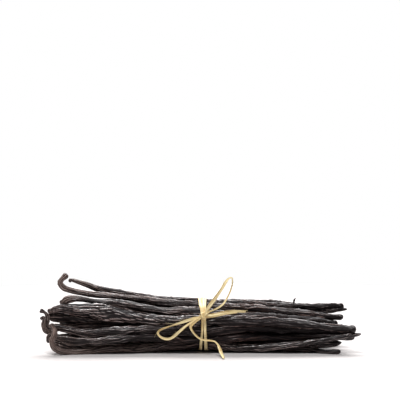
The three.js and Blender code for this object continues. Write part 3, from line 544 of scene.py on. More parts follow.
# ---- settings --------------------------------------------------------------------
def colour(name, description, value):
    return FloatVectorProperty(
        name=name, description=description, default=value, size=3, subtype="COLOR", min=0, max=1)


class PodSettings(bpy.types.PropertyGroup):
    """Sizes and colours of the pods."""

    fold_depth: FloatProperty(
        name="Fold depth", description="How deep the folds are, as a share of the usual depth",
        default=1, min=0, max=1.5)
    skin: colour("Skin", "Near-black brown of the skin", (0.0085, 0.0054, 0.0058))
    brown: colour("Red brown", "Warm brown that shows where the skin is thin", (0.07, 0.031, 0.022))
    # painted shade: the near-black painted into the folds; also the colour of the stem scar and of the core's
    # darker streaks
    furrow: colour("Fold", "Colour at the bottom of the folds", (0.003, 0.0022, 0.0025))
    # painted sheen: the grey highlight colour painted on the ridges
    painted_sheen: colour("Painted sheen", "Grey sheen on the ridges", (0.4, 0.315, 0.3))
    stem: colour("Stem", "Brown of the stem ends", (0.36, 0.264, 0.23))
    gloss: FloatProperty(
        name="Oil", description="How much of an oily film lies on the skin",
        default=0.9, min=0, max=1, subtype="FACTOR")


class RaffiaSettings(bpy.types.PropertyGroup):
    """Sizes and colours of the raffia."""

    straw: colour("Straw", "Pale face of the leaf strip", (1, 0.86, 0.51))
    # also the painted shade along the curled edges
    ochre: colour("Ochre", "Darker fibres and folded edges", (0.55, 0.34, 0.1))
    band_width: FloatProperty(
        name="Band width", description="Width of each strand where it goes over the top",
        default=0.0027, unit="LENGTH")
    loop_width: FloatProperty(
        name="Loop width", description="Width of the strip that the bow is tied from",
        default=0.0019, unit="LENGTH")
    thickness: FloatProperty(
        name="Thickness", description="Thickness of the dry leaf strip", default=0.00022, unit="LENGTH")


class StageSettings(bpy.types.PropertyGroup):
    """Floor, light and camera."""

    floor: colour("Floor", "Colour of the floor", (0.6, 0.572, 0.566))
    ambient: FloatProperty(
        name="Ambient", description="Strength of the dim light from all round", default=0.15, min=0, max=5)
    back_power: FloatProperty(
        name="Back light", description="Power of the softbox above and behind, in watts", default=40, min=0)
    top_power: FloatProperty(
        name="Top light", description="Power of the softbox overhead, in watts", default=1.6, min=0)
    front_power: FloatProperty(
        name="Front light", description="Power of the softbox at the front left, in watts", default=4,
        min=0)
    lens: FloatProperty(name="Lens", description="Focal length of the camera", default=163.4, unit="CAMERA")
    distance: FloatProperty(
        name="Distance", description="How far the camera stands from the middle of the bundle",
        default=1.1, unit="LENGTH")
    elevation: FloatProperty(
        name="Elevation", description="How far above the floor the camera looks from",
        default=math.radians(7), subtype="ANGLE")
    tilt: FloatProperty(
        name="Tilt", description="How far down the camera is turned", default=math.radians(3.12),
        subtype="ANGLE")


# ---- shader nodes ------------------------------------------------------------------
def add_node(tree, kind, settings=None, inputs=None, output=0):
    """Adds a node: its settings first, then the values or links of its sockets."""
    made = tree.nodes.new(kind)
    for name, value in (settings or {}).items():
        setattr(made, name, value)
    for name, value in (inputs or {}).items():
        if isinstance(value, Value):
            tree.links.new(value.socket, made.inputs[name])
        else:
            made.inputs[name].default_value = value
    return Value(tree, made.outputs[output]) if made.outputs else None


class Value:
    """A socket of a node tree that can stand in a sum."""

    def __init__(self, tree, socket):
        self.tree = tree
        self.socket = socket

    def _maths(self, operation, *terms):
        return add_node(self.tree, "ShaderNodeMath", {"operation": operation}, dict(enumerate(terms)))

    def __add__(self, other):
        return self._maths("ADD", self, other)

    def __radd__(self, other):
        return self._maths("ADD", other, self)

    def __sub__(self, other):
        return self._maths("SUBTRACT", self, other)

    def __rsub__(self, other):
        return self._maths("SUBTRACT", other, self)

    def __mul__(self, other):
        return self._maths("MULTIPLY", self, other)

    def __rmul__(self, other):
        return self._maths("MULTIPLY", other, self)

    def clamped(self):
        """The value, held between 0 and 1."""
        return add_node(self.tree, "ShaderNodeClamp", inputs={"Value": self})


class Finish:
    """The node tree of one material or of the world."""

    def __init__(self, owner):
        owner.use_nodes = True
        self.owner = owner
        self.tree = owner.node_tree
        self.tree.nodes.clear()

    def node(self, *details, **more):
        """Adds a node to this tree."""
        return add_node(self.tree, *details, **more)

    def attribute(self, name):
        """The three numbers that each point of the mesh carries under this name."""
        return self.node("ShaderNodeAttribute", {"attribute_name": name}, output="Vector")

    def parts(self, vector):
        """The three numbers of a vector."""
        first = self.node("ShaderNodeSeparateXYZ", inputs={0: vector})
        return [Value(self.tree, socket) for socket in first.socket.node.outputs]

    def noise(self, vector, scale, detail, roughness):
        """Noise with so many grains per metre along, across and through."""
        stretched = self.node("ShaderNodeVectorMath", {"operation": "MULTIPLY"}, {0: vector, 1: scale})
        return self.node(
            "ShaderNodeTexNoise", {"noise_dimensions": "3D"},
            {"Vector": stretched, "Scale": 1.0, "Detail": detail, "Roughness": roughness})

    def ramp(self, value, low, high):
        """0 where the value is low, 1 where it is high, smooth in between."""
        return self.node(
            "ShaderNodeMapRange", {"interpolation_type": "SMOOTHSTEP"},
            {"Value": value, "From Min": low, "From Max": high})

    def mix(self, factor, first, second):
        """From the first colour at 0 to the second at 1."""
        first, second = [c if isinstance(c, Value) else (*c, 1) for c in (first, second)]
        return self.node("ShaderNodeMix", {"data_type": "RGBA"}, {0: factor, 6: first, 7: second}, output=2)

    def surface(self, inputs, height, strength, distance):
        """Ends the tree in a Principled BSDF whose normal comes from the height."""
        normal = self.node(
            "ShaderNodeBump", inputs={"Height": height, "Strength": strength, "Distance": distance})
        shader = self.node("ShaderNodeBsdfPrincipled", inputs={**inputs, "Normal": normal})
        self.node("ShaderNodeOutputMaterial", inputs={"Surface": shader})
        return self.owner


def pod_skin(settings):
    """Oily, nearly black skin: painted shade in the folds, a painted grey sheen (highlight) on the ridges,
    brown stem ends.
    """
    finish = Finish(bpy.data.materials.new("vanilla_skin"))
    ramp = finish.ramp
    rest = finish.attribute("rest")
    fold, stem, ridge = finish.parts(finish.attribute("marks"))
    tan, painted_sheen, scar = finish.parts(finish.attribute("looks"))
    streaks = finish.noise(rest, POD_STREAKS, **DETAILED)
    patches = finish.noise(rest, POD_PATCHES, **PLAIN)
    grit = finish.noise(rest, POD_GRIT, **GRITTY)
    crest = ramp(ridge, 0.55, 0.95)

    # from the skin outwards: red-brown in patches, a painted grey sheen (highlight) on the crests, brown at
    # the stem end, painted shade near-black in the folds, and black in the scar
    reddish = ramp(patches, 0.44, 0.66) * tan + stem * 0.3
    # painted highlight: a grey sheen on the crests, in streaks, as strong as the pod's painted sheen
    painted_sheen_share = ((0.2 + ramp(streaks * 0.55 + patches * 0.45, 0.42, 0.6) * 0.8) * crest * painted_sheen).clamped()
    woody = stem * (0.55 + ramp(streaks, 0.35, 0.7) * 0.45)
    # painted shade: the folds and the skin away from the crests go near-black
    sunk = ramp(fold * 0.4 + (1 - ridge) * 0.6, 0.3, 0.6) * (1 - stem * 0.1)
    base = finish.mix(reddish.clamped(), settings.skin, settings.brown)
    base = finish.mix(painted_sheen_share * 0.9, base, settings.painted_sheen)
    base = finish.mix(woody.clamped(), base, settings.stem)
    base = finish.mix(sunk, base, settings.furrow)
    base = finish.mix(scar, base, settings.furrow)

    # the oil lies on the crests, and more of it where they carry the painted sheen
    rough = 0.3 + ramp(streaks, 0.3, 0.75) * 0.12 + stem * 0.16 + (1 - crest) * 0.25
    oil = (0.1 + crest * 0.9) * (0.2 + painted_sheen * 0.8) * settings.gloss
    return finish.surface(
        {"Base Color": base, "Roughness": rough.clamped(), "Specular IOR Level": 0.2,
         "Specular Tint": (1, 0.82, 0.84, 1), "Coat Weight": oil.clamped(), "Coat Roughness": 0.18,
         "Coat IOR": 2.0},
        streaks * 0.6 + grit * 0.25 + patches * 0.15, 0.8, POD_RELIEF)


def core_skin(settings):
    """The dark, packed inside of the bundle, as it shows through the gaps."""
    finish = Finish(bpy.data.materials.new("core_skin"))
    streaks = finish.noise(finish.attribute("rest"), CORE_STREAKS, **DETAILED)
    base = finish.mix(finish.ramp(streaks, 0.35, 0.7), settings.furrow, settings.skin)
    return finish.surface(
        {"Base Color": base, "Roughness": (0.55 + streaks * 0.2).clamped()}, streaks, 0.6, POD_RELIEF)


def raffia_skin(settings):
    """Dry leaf strip: fine lengthwise fibres, ochre in streaks and stains, and ochre painted shade along its
    curled edges.
    """
    finish = Finish(bpy.data.materials.new("raffia_fibre"))
    ramp = finish.ramp
    rest = finish.attribute("rest")
    edge, tone, _ = finish.parts(finish.attribute("marks"))
    fibres = finish.noise(rest, STRAW_FIBRES, **DETAILED)
    streaks = finish.noise(rest, STRAW_STREAKS, **PLAIN)
    stains = finish.noise(rest, STRAW_STAINS, **PLAIN)
    # ochre from the fibres, streaks and stains, and painted shade along the edges
    ochre_and_edge_shade = (ramp(fibres, 0.5, 0.78) * 0.25 + ramp(streaks, 0.42, 0.6) * 0.5
            + ramp(stains, 0.45, 0.7) * 0.3 + edge * 0.3 + tone)
    base = finish.mix(ochre_and_edge_shade.clamped(), settings.straw, settings.ochre)
    return finish.surface(
        {"Base Color": base, "Roughness": (0.55 + fibres * 0.2).clamped(), "Specular IOR Level": 0.35,
         "Sheen Weight": 0.15, "Sheen Roughness": 0.4},
        fibres * 0.6 + streaks * 0.4, 0.5, STRAW_RELIEF)


def floor_finish(settings):
    """Matt white studio floor with a faint mottle."""
    finish = Finish(bpy.data.materials.new("floor"))
    mottle = finish.noise(finish.node("ShaderNodeTexCoord", output="Object"), FLOOR_MOTTLE, **PLAIN)
    dim = [MOTTLE_SHADE * part for part in settings.floor]
    return finish.surface(
        {"Base Color": finish.mix(mottle, settings.floor, dim), "Roughness": 0.85,
         "Specular IOR Level": 0.1}, mottle, 0.02, POD_RELIEF)


# ---- lines and numbers -----------------------------------------------------------------
def unit(vectors):
    """The vectors, each brought to a length of 1."""
    return vectors / np.linalg.norm(vectors, axis=-1, keepdims=True)


def reach_of(line):
    """How far along a line each of its points is."""
    return np.concatenate([[0], np.cumsum(np.linalg.norm(np.diff(line, axis=0), axis=1))])


def tie_place(ring, turn):
    """Where a pod lies in the tie."""
    half_width, half_height = RINGS[ring]
    angle = math.radians(turn)
    power = FLOOR_SQUARING if ring == "outer" and math.sin(angle) < 0 else 1

    def powered(value):
        return math.copysign(abs(value) ** power, value)

    return TIE_X, half_width * powered(math.cos(angle)), TIE_Z + half_height * powered(math.sin(angle))


def smooth_line(places, closed=False):
    """A dense centripetal Catmull-Rom line through the places, and how far along it its points are."""
    p = np.array(places, float)
    if closed:
        p = np.vstack([p[-1], p, p[0], p[1]])
    else:
        p = np.vstack([2 * p[0] - p[1], p, 2 * p[-1] - p[-2]])
    pieces = []
    for i in range(1, len(p) - 2):
        q = p[i - 1 : i + 3]
        knots = np.concatenate([[0], np.cumsum(np.sqrt(np.linalg.norm(np.diff(q[:, :3], axis=0), axis=1)))])
        t = np.linspace(knots[1], knots[2], LINE_FINENESS, endpoint=False)[:, None]

        def between(a, b, first, last):
            return ((last - t) * a + (t - first) * b) / (last - first)

        low = [between(q[j], q[j + 1], knots[j], knots[j + 1]) for j in range(3)]
        mid = [between(low[j], low[j + 1], knots[j], knots[j + 2]) for j in range(2)]
        pieces.append(between(mid[0], mid[1], knots[1], knots[2]))
    line = np.vstack([*pieces, p[-2:-1]])
    return line, reach_of(line)


def along_line(line, reach, distances):
    """Points of a dense line at these distances along it."""
    return np.stack([np.interp(distances, reach, line[:, i]) for i in range(3)], axis=1)


def curve_table(table, at):
    """Smooth look-up in a table of (place, value)."""
    places, values = np.array(table, float).T
    at = np.clip(at, places[0], places[-1])
    i = np.clip(np.searchsorted(places, at) - 1, 0, len(places) - 2)
    share = (at - places[i]) / (places[i + 1] - places[i])
    share = share * share * (3 - 2 * share)
    return values[i] * (1 - share) + values[i + 1] * share


def wander(dice, along, size, shortest, longest):
    """A smooth, uneven curve of about this size along a line."""
    total = np.zeros_like(along)
    for _ in range(WAVES):
        wave = dice.uniform(shortest, longest)
        total += np.sin(2 * math.pi * (along / wave + dice.uniform()))
    return size * total / math.sqrt(WAVES)


def uneven(dice, along, turns, shortest, longest):
    """A smooth, uneven field from 0 to 1 over a pod's skin."""
    total = np.zeros((len(along), len(turns)))
    for rounds in UNEVEN_ROUNDS:
        wave = dice.uniform(shortest, longest)
        total += np.sin(rounds * turns[None, :] + 2 * math.pi * (along / wave + dice.uniform())[:, None])
    return 0.5 + total / (2 * len(UNEVEN_ROUNDS))


def carried_frames(line, start_side):
    """Tangents and two sides across at each point, carried along without twist."""
    tangent = unit(np.gradient(line, axis=0))
    side = np.empty_like(line)
    last = np.array(start_side, float)
    for i, ahead in enumerate(tangent):
        last = unit(last - ahead * (last @ ahead))
        side[i] = last
    return tangent, side, np.cross(tangent, side)


def round_turns(sides):
    """So many angles at even steps all the way round."""
    return np.arange(sides) * 2 * math.pi / sides


def spokes(turns, side, up, thin=1.0):
    """The ways out from each point of a line at these turns, this much shorter towards its side."""
    return thin * np.cos(turns)[None, :, None] * side[:, None] + np.sin(turns)[None, :, None] * up[:, None]


# ---- meshes --------------------------------------------------------------------------
class Skin:
    """Rings of points joined into one surface, with the values that its material reads. A tube ends
    in a hub at each end, a strip is closed from its lower side to its upper, and a ring has no end."""

    def __init__(self, rings, values, closed=False, strip=False):
        self.count, self.sides = rings.shape[:2]
        self.closed, self.strip = closed, strip
        self.points = rings.reshape(-1, 3)
        self.values = {name: value.reshape(-1, 3) for name, value in values.items()}

    def with_hubs(self, values):
        """The values of the points and, after them, of the two hubs of a tube."""
        if self.closed or self.strip:
            return values
        return np.vstack([values, values.reshape(self.count, self.sides, 3)[[0, -1]].mean(axis=1)])

    def walls(self, band):
        """The faces between the rings, and where their corners lie in this band of the piece's map."""
        spans = self.count if self.closed else self.count - 1
        i, j = np.meshgrid(np.arange(spans), np.arange(self.sides), indexing="ij")
        near, far, k = i * self.sides, (i + 1) % self.count * self.sides, (j + 1) % self.sides
        faces = np.stack([near + j, near + k, far + k, far + j], axis=-1)
        u = np.linspace(MAP_MARGIN, 1 - MAP_MARGIN, spans + 1)
        v = np.linspace(*band, self.sides + 1)
        corners = [(i, j), (i, j + 1), (i + 1, j + 1), (i + 1, j)]
        places = np.stack([np.stack([u[a], v[b]], -1) for a, b in corners], axis=2)
        return faces.reshape(-1, 4), places.reshape(-1, 2)

    def ends(self, band):
        """The faces that close the two ends, and where their corners lie in the map."""
        steps = self.sides // 2 - 1 if self.strip else self.sides
        j = np.arange(steps)
        k = (j + 1) % self.sides
        v = np.linspace(*band, steps + 1)
        last = (self.count - 1) * self.sides
        found, places = [], []
        for start, hub, first, second, a, b, rim, tip in (
                (0, 0, k, j, v[1:], v[:-1], MAP_MARGIN, MAP_TIP),
                (last, 1, j, k, v[:-1], v[1:], 1 - MAP_MARGIN, 1 - MAP_TIP)):
            if self.strip:
                upper = self.sides - 1
                faces = [start + first, start + second, start + upper - second, start + upper - first]
                corners = [(rim, a), (rim, b), (tip, b), (tip, a)]
            else:
                faces = [start + first, start + second, np.full(steps, len(self.points) + hub)]
                corners = [(rim, a), (rim, b), (tip, (a + b) / 2)]
            found.append(np.stack(faces, axis=1))
            places.append(np.stack([np.stack([np.full(steps, u), at], -1) for u, at in corners], axis=1))
        return np.concatenate(found), np.concatenate(places).reshape(-1, 2)


def build_piece(name, skins, material, nodes):
    """Joins skins into one object that rides on the body and stands for CAD nodes."""
    points, faces, corners = [], [], []
    start = 0
    for index, skin in enumerate(skins):
        band = ((index + MAP_GAP) / len(skins), (index + 1 - MAP_GAP) / len(skins))
        for found, places in [skin.walls(band)] + ([] if skin.closed else [skin.ends(band)]):
            faces += (found + start).tolist()
            corners.append(places)
        points.append(skin.with_hubs(skin.points))
        start += len(points[-1])
    mesh = bpy.data.meshes.new(name)
    mesh.from_pydata(np.vstack(points).tolist(), [], faces)
    for key in skins[0].values:
        layer = mesh.attributes.new(key, "FLOAT_VECTOR", "POINT")
        values = np.vstack([skin.with_hubs(skin.values[key]) for skin in skins])
        layer.data.foreach_set("vector", values.astype(np.float32).ravel())
    layer = mesh.uv_layers.new(name="OFBake")
    layer.data.foreach_set("uv", np.vstack(corners).astype(np.float32).ravel())
    mesh.polygons.foreach_set("use_smooth", np.ones(len(mesh.polygons), bool))
    mesh.materials.append(material)
    mesh.update()
    piece = bpy.data.objects.new(name, mesh)
    bpy.context.scene.collection.objects.link(piece)
    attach(piece, BODY)
    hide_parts(*nodes)
    return piece


# ---- pods -------------------------------------------------------------------------------
def wrinkled(dice, along, wound, run, rounds):
    """Branching lengthwise wrinkles from 0 on a ridge to 1 in a crease, over cells this long and so
    many to a round."""
    grid = dice.uniform(size=(int(along[-1] / run) + 2, rounds))
    row = (along / run)[:, None] + np.zeros_like(wound)
    column = wound / (2 * math.pi) * rounds
    i, j = np.floor(row).astype(int), np.floor(column).astype(int)
    s, t = row - i, column - j
    s, t = s * s * (3 - 2 * s), t * t * (3 - 2 * t)
    near = grid[i, j % rounds] * (1 - t) + grid[i, (j + 1) % rounds] * t
    far = grid[i + 1, j % rounds] * (1 - t) + grid[i + 1, (j + 1) % rounds] * t
    return 1 - np.minimum(1, WRINKLE_STEEPNESS * np.abs(2 * (near * (1 - s) + far * s) - 1))


def stem_share(along, character):
    """1 at the stem end, down to 0 past its brown stretch."""
    return np.exp(-((along / character["pale"]) ** PALE_FALL))


def fold_depth(dice, along, turns, radius, character):
    """How far the skin lies below its full round, at each ring and side of a pod."""
    winding = 2 * math.pi * character["slant"]
    length = along[-1]
    share = np.minimum(radius / FULL_RADIUS, MOST_FOLDED)[:, None]
    depth = np.zeros((len(along), len(turns)))
    wound = turns[None, :] - winding * along[:, None]

    def drifted(steady, size, shortest, longest):
        return wander(dice, along, *steady)[:, None] + size * uneven(dice, along, turns, shortest, longest)

    for count, height in PLEATS:
        drift = drifted(PLEAT_DRIFT, *PLEAT_UNEVEN)
        ridge = np.abs(np.sin(count / 2 * wound + drift + dice.uniform(0, math.pi))) ** CREASE_SHARPNESS
        fade = PLEAT_LEAST + (1 - PLEAT_LEAST) * uneven(dice, along, turns, *PLEAT_FADE)
        depth += height * (1 - ridge) * fade
    for rounds, run, height in WRINKLES:
        drift = drifted(WRINKLE_DRIFT, *WRINKLE_UNEVEN)
        depth += height * wrinkled(dice, along, wound + drift, run, rounds)
    for count, half_width, deepest, shortest, longest in CREASES:
        for _ in range(count):
            run = length * dice.uniform(shortest, longest)
            middle = dice.uniform(0, length)
            path = dice.uniform(0, 2 * math.pi) + winding * (along - middle)
            path = path + wander(dice, along, *CREASE_DRIFT)
            turned = (turns[None, :] - path[:, None] + math.pi) % (2 * math.pi) - math.pi
            away = np.abs(turned) * radius[:, None] / (half_width * share * dice.uniform(*CREASE_WIDTHS))
            fade = np.clip(1 - np.abs(along - middle) / (run / 2), 0, 1)[:, None] ** CREASE_FADE
            depth += deepest * dice.uniform(*CREASE_DEPTHS) * fade * np.exp(-(away**CREASE_FALL))
    depth *= share * (1 + SHRIVELLED * np.exp(-(length - along) / SHRIVEL_REACH))[:, None]
    depth *= (1 - character["smooth"] * stem_share(along, character))[:, None]
    limit = DEEPEST * radius[:, None]
    return limit * np.tanh(depth / limit)


def crests(depth):
    """How far each point of the skin stands out from what lies beside it."""
    reach = depth.shape[1] // CREST_REACH
    around = sum(np.roll(depth, step, axis=1) for step in range(-reach, reach + 1)) / (2 * reach + 1)
    return around - depth


def pod_line(name):
    """A pod's dense line with its width as a fourth number, and how far along it each point is."""
    ring, turn, width, stem_side, blossom_side = PODS[name]
    places = [*stem_side, (*tie_place(ring, turn), width), *blossom_side]
    steps = [math.dist(a[:3], b[:3]) for a, b in zip(places, places[1:])]
    reach = np.cumsum([0, *steps]) / sum(steps)
    usual = width * np.interp(reach, *zip(*POD_GROWTH))
    return smooth_line([(*p[:3], p[3] if len(p) > 3 else w) for p, w in zip(places, usual)])


def pod_body(name, index, sides, settings):
    """One pod: a folded, slightly flattened skin with its stem button, scar and blossom end."""
    dice = np.random.default_rng(SEED + index)
    character = {**PLAIN_CHARACTER, **CHARACTER.get(name, {})}
    line, reach = pod_line(name)
    length = reach[-1]
    fine = np.arange(0, END_ZONE, END_SPACING)
    plain = np.linspace(END_ZONE, length - END_ZONE, round((length - 2 * END_ZONE) / RING_SPACING))
    along = np.concatenate([fine, plain, length - fine[::-1]])
    centre = along_line(line, reach, along)
    radius = np.interp(along, reach, line[:, 3]) / 2
    stem_radius, blossom_radius = radius[0], radius[-1]
    radius = radius * (1 + wander(dice, along, *GIRTH))
    radius *= curve_table(BUTTON, along / stem_radius)
    radius *= curve_table(BLOSSOM_ENDS[character["end"]], (length - along) / blossom_radius)
    tangent, side, up = carried_frames(centre, (0, 1, 0))
    ends = np.clip(np.minimum(along, length - along) / END_ZONE, 0, 1)
    for across in (side, up):
        centre = centre + across * (wander(dice, along, *SWAY) * ends)[:, None]

    turns = round_turns(sides)
    oval_turn = dice.uniform(0, math.pi) + wander(dice, along, *OVAL_TURN)
    lobed_turn = dice.uniform(0, math.pi) + wander(dice, along, *LOBED_TURN)
    shape = (1 + dice.uniform(*OVAL) * np.cos(2 * (turns[None, :] - oval_turn[:, None]))
             + dice.uniform(*LOBED) * np.cos(3 * (turns[None, :] - lobed_turn[:, None])))
    depth = fold_depth(dice, along, turns, radius, character) * settings.fold_depth
    skin = radius[:, None] * shape - depth + FOLD_LIFT * depth.mean(axis=1, keepdims=True)
    thin = np.minimum(1, (FULL_RADIUS + FLATNESS * (radius - FULL_RADIUS)) / radius)[:, None, None]
    rings = centre[:, None] + skin[..., None] * spokes(turns, side, up, thin)

    # the values that its material reads
    painted = np.broadcast_to((along + REST_APART * index)[:, None], skin.shape)
    rest = np.stack([painted, skin * np.cos(turns), skin * np.sin(turns)], axis=-1)
    share = np.clip(radius / FULL_RADIUS, LEAST_SHARE, 1)[:, None]
    # fold and crest tell the material where to paint shade in the folds and sheen on the crests
    fold = np.clip(depth / (FOLD_FULL * share), 0, 1)
    crest = np.clip(0.5 + crests(depth) / (2 * CREST_FULL * share), 0, 1)
    stem = stem_share(along, character) * (1 - BUTTON_DARK * np.exp(-((along / BUTTON_REACH) ** 2)))
    marks = np.stack([fold, stem[:, None] * np.ones_like(fold), crest], axis=-1)
    # how much painted sheen, a grey highlight, the ridges carry along the pod
    sheen = np.interp(along / length, *zip(*character["painted_sheen"]))
    looks = np.zeros_like(rings) + (character["tan"], 0, 0) + sheen[:, None, None] * (0, 1, 0)

    # the hollow of the stem end, before the first ring
    cup = []
    for inward, sunk in reversed(CUP):
        scar = (0, 0, 1) if inward < SCAR_EDGE else (0, 0, 0)
        cup.append((centre[0] + tangent[0] * sunk * stem_radius + (rings[0] - centre[0]) * inward,
                    rest[0] * (1, inward, inward), marks[0] * (1, 1, 0) + (0, 0, 0.5), looks[0] + scar))
    rings, rest, marks, looks = [
        np.concatenate([inner, outer]) for inner, outer in zip(zip(*cup), (rings, rest, marks, looks))]
    rings[..., 2] = np.maximum(rings[..., 2], FLOOR_CLEARANCE)
    return Skin(rings, {"rest": rest, "marks": marks, "looks": looks})


def core_body():
    """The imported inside, ridged like the pods that it stands for."""
    dice = np.random.default_rng(SEED)
    line, reach = smooth_line([(x, y, z, w) for x, y, z, w, _ in CORE])
    heights = smooth_line([(x, y, z, h) for x, y, z, _, h in CORE])[0][:, 3]
    along = np.linspace(0, reach[-1], CORE_RINGS)
    centre = along_line(line, reach, along)
    turns = round_turns(CORE_SIDES)
    ridges = np.abs(np.sin(turns[None, :] * CORE_RIDGES / 2 + wander(dice, along, *CORE_DRIFT)[:, None]))
    size = CORE_SHARE * (CORE_ROUND + CORE_RIDGE * ridges)
    width = np.interp(along, reach, line[:, 3])[:, None] * size
    height = np.interp(along, reach, heights)[:, None] * size
    rings = np.broadcast_to(centre[:, None], (CORE_RINGS, CORE_SIDES, 3)).copy()
    rings[..., 1:] += np.stack([width * np.cos(turns), height * np.sin(turns)], axis=-1)
    return Skin(rings, {"rest": rings.copy(), "marks": np.zeros_like(rings), "looks": np.zeros_like(rings)})


def scrap_body():
    """A dried scrap of stem that stands up off the top."""
    dice = np.random.default_rng(SCRAP_SEED)
    line, reach = smooth_line(SCRAP)
    along = np.linspace(0, reach[-1], SCRAP_RINGS)
    centre = along_line(line, reach, along)
    radius = curve_table(SCRAP_RADIUS, along / reach[-1])
    _, side, up = carried_frames(centre, (0, 1, 0))
    turns = round_turns(SCRAP_SIDES)
    ribs = SCRAP_RIB * np.cos(SCRAP_RIBS * turns + SCRAP_RIB_TURN)
    shape = radius[:, None] * (1 + ribs + wander(dice, along, *SCRAP_GIRTH)[:, None])
    rings = centre[:, None] + shape[..., None] * spokes(turns, side, up, SCRAP_FLATNESS)
    ones = np.ones_like(rings)
    return Skin(rings, {"rest": rings + SCRAP_REST, "marks": ones * SCRAP_MARKS, "looks": ones * SCRAP_LOOKS})


# ---- raffia -----------------------------------------------------------------------------
def strip_body(dice, places, width, thickness, face, curl=((0, 0.5), (1, 0.5)), roll=((0, 0), (1, 0)),
               taper=((0, 1), (1, 1)), closed=False, tone=0.0):
    """A dry leaf strip along a line. face is the way its broad side looks, curl how far its edges
    are bent round, in radians, roll how far it is turned about its line, and taper its width."""
    line, reach = smooth_line(places, closed)
    count = round(reach[-1] / STRIP_SPACING)
    along = np.linspace(0, reach[-1], count, endpoint=not closed)
    centre = along_line(line, reach, along)
    if closed:
        ahead = unit(np.roll(centre, -1, axis=0) - np.roll(centre, 1, axis=0))
    else:
        ahead = unit(np.gradient(centre, axis=0))
    if callable(face):
        face = face(centre)
    face = np.broadcast_to(np.array(face, float), centre.shape)
    normal = unit(face - ahead * np.sum(face * ahead, axis=1, keepdims=True))
    across = np.cross(normal, ahead)
    share = along / reach[-1]
    turn = np.radians(curve_table(roll, share))[:, None]
    cos, sin = np.cos(turn), np.sin(turn)
    normal, across = normal * cos + across * sin, across * cos - normal * sin

    a = np.linspace(-1, 1, STRIP_ACROSS)[None, :]
    half = (width / 2 * curve_table(taper, share) * (1 + wander(dice, along, *STRIP_GIRTH)))[:, None]
    bend = curve_table(curl, share)[:, None] + LEAST_BEND
    bow = half / bend
    middle = np.stack([bow * np.sin(bend * a), bow * (1 - np.cos(bend * a))], axis=-1)
    middle[..., 1] -= middle[..., 1].mean(axis=1, keepdims=True)
    lean = np.stack([-np.sin(bend * a), np.cos(bend * a)], axis=-1)
    thick = thickness / 2 * (1 - EDGE_THINNING * a**4)

    def fibres():
        total = np.zeros(middle.shape[:2])
        for k in FIBRE_COUNTS:
            phase = dice.uniform(0, 2 * math.pi) + wander(dice, along, *FIBRE_DRIFT)[:, None]
            total += np.sin(k * a + phase)
        return 1 + FIBRE_RELIEF * total / 2

    upper = middle + lean * (thick * fibres())[..., None]
    lower = middle - lean * (thick * fibres())[..., None]
    section = np.concatenate([lower, upper[:, ::-1]], axis=1)
    rings = centre[:, None] + section[..., :1] * across[:, None] + section[..., 1:] * normal[:, None]
    round_a = np.concatenate([a, a[:, ::-1]], axis=1)
    arc = half * round_a
    painted = np.broadcast_to(along[:, None] + dice.uniform(0, STRIPS_APART), arc.shape)
    rest = np.stack([
        painted, arc, np.concatenate([-thick, thick[:, ::-1]], axis=1) * np.ones_like(arc)], axis=-1)
    # how near the edge: the material paints ochre shade there
    edge = np.abs(round_a) ** EDGE_SHARPNESS * np.ones_like(arc)
    marks = np.stack([edge, np.full_like(edge, tone), np.zeros_like(edge)], axis=-1)
    return Skin(rings, {"rest": rest, "marks": marks}, closed, strip=True)


def hair_body(dice, start, ahead, length, thickness):
    """One loose fibre that has come away from a strip."""
    ahead = unit(np.array(ahead, float))
    bend = unit(dice.normal(size=3)) * length * HAIR_BEND
    line, reach = smooth_line([start + ahead * length * t + bend * t * t for t in HAIR_STEPS])
    along = np.linspace(0, reach[-1], HAIR_RINGS)
    centre = along_line(line, reach, along)
    _, side, up = carried_frames(centre, np.cross(ahead, bend))
    radius = thickness / 2 * (1 - HAIR_TAPER * along / reach[-1])
    rings = centre[:, None] + radius[:, None, None] * spokes(round_turns(HAIR_SIDES), side, up)
    return Skin(rings, {"rest": rings, "marks": np.zeros_like(rings) + HAIR_MARKS})


def loose_fibres(dice, skin, count, longest, ends_only):
    """Fibres that stick out from the edges or the cut end of a strip."""
    rings = skin.points.reshape(skin.count, skin.sides, 3)
    found = []
    for _ in range(count):
        at = skin.count - 2 if ends_only else dice.integers(2, skin.count - 3)
        edge = dice.integers(0, STRIP_ACROSS) if ends_only else dice.choice([0, STRIP_ACROSS - 1])
        start = rings[at, edge]
        ahead = unit(rings[at + 1, edge] - rings[at - 1, edge])
        outward = unit(start - rings[at].mean(axis=0))
        found.append(hair_body(
            dice, start, ahead + outward * dice.uniform(*HAIR_LEAN),
            longest * dice.uniform(*HAIR_LENGTHS), HAIR_ACROSS * dice.uniform(*HAIR_WIDTHS)))
    return found


def tie_hull():
    """The taut line round the gathered pods in the tie's plane, anticlockwise as y and z."""
    points = []
    for name in LAYERS:
        mesh = bpy.data.objects[name].data
        flat = np.empty(len(mesh.vertices) * 3)
        mesh.vertices.foreach_get("co", flat)
        flat = flat.reshape(-1, 3)
        points.append(flat[np.abs(flat[:, 0] - TIE_X) < TIE_REACH, 1:])
    points = sorted(map(tuple, np.vstack(points)))

    def half(ordered):
        chain = []
        for p in ordered:
            while len(chain) > 1 and ((chain[-1][0] - chain[-2][0]) * (p[1] - chain[-2][1])
                                      - (chain[-1][1] - chain[-2][1]) * (p[0] - chain[-2][0])) <= 0:
                chain.pop()
            chain.append(p)
        return chain[:-1]

    return np.array(half(points) + half(points[::-1]))


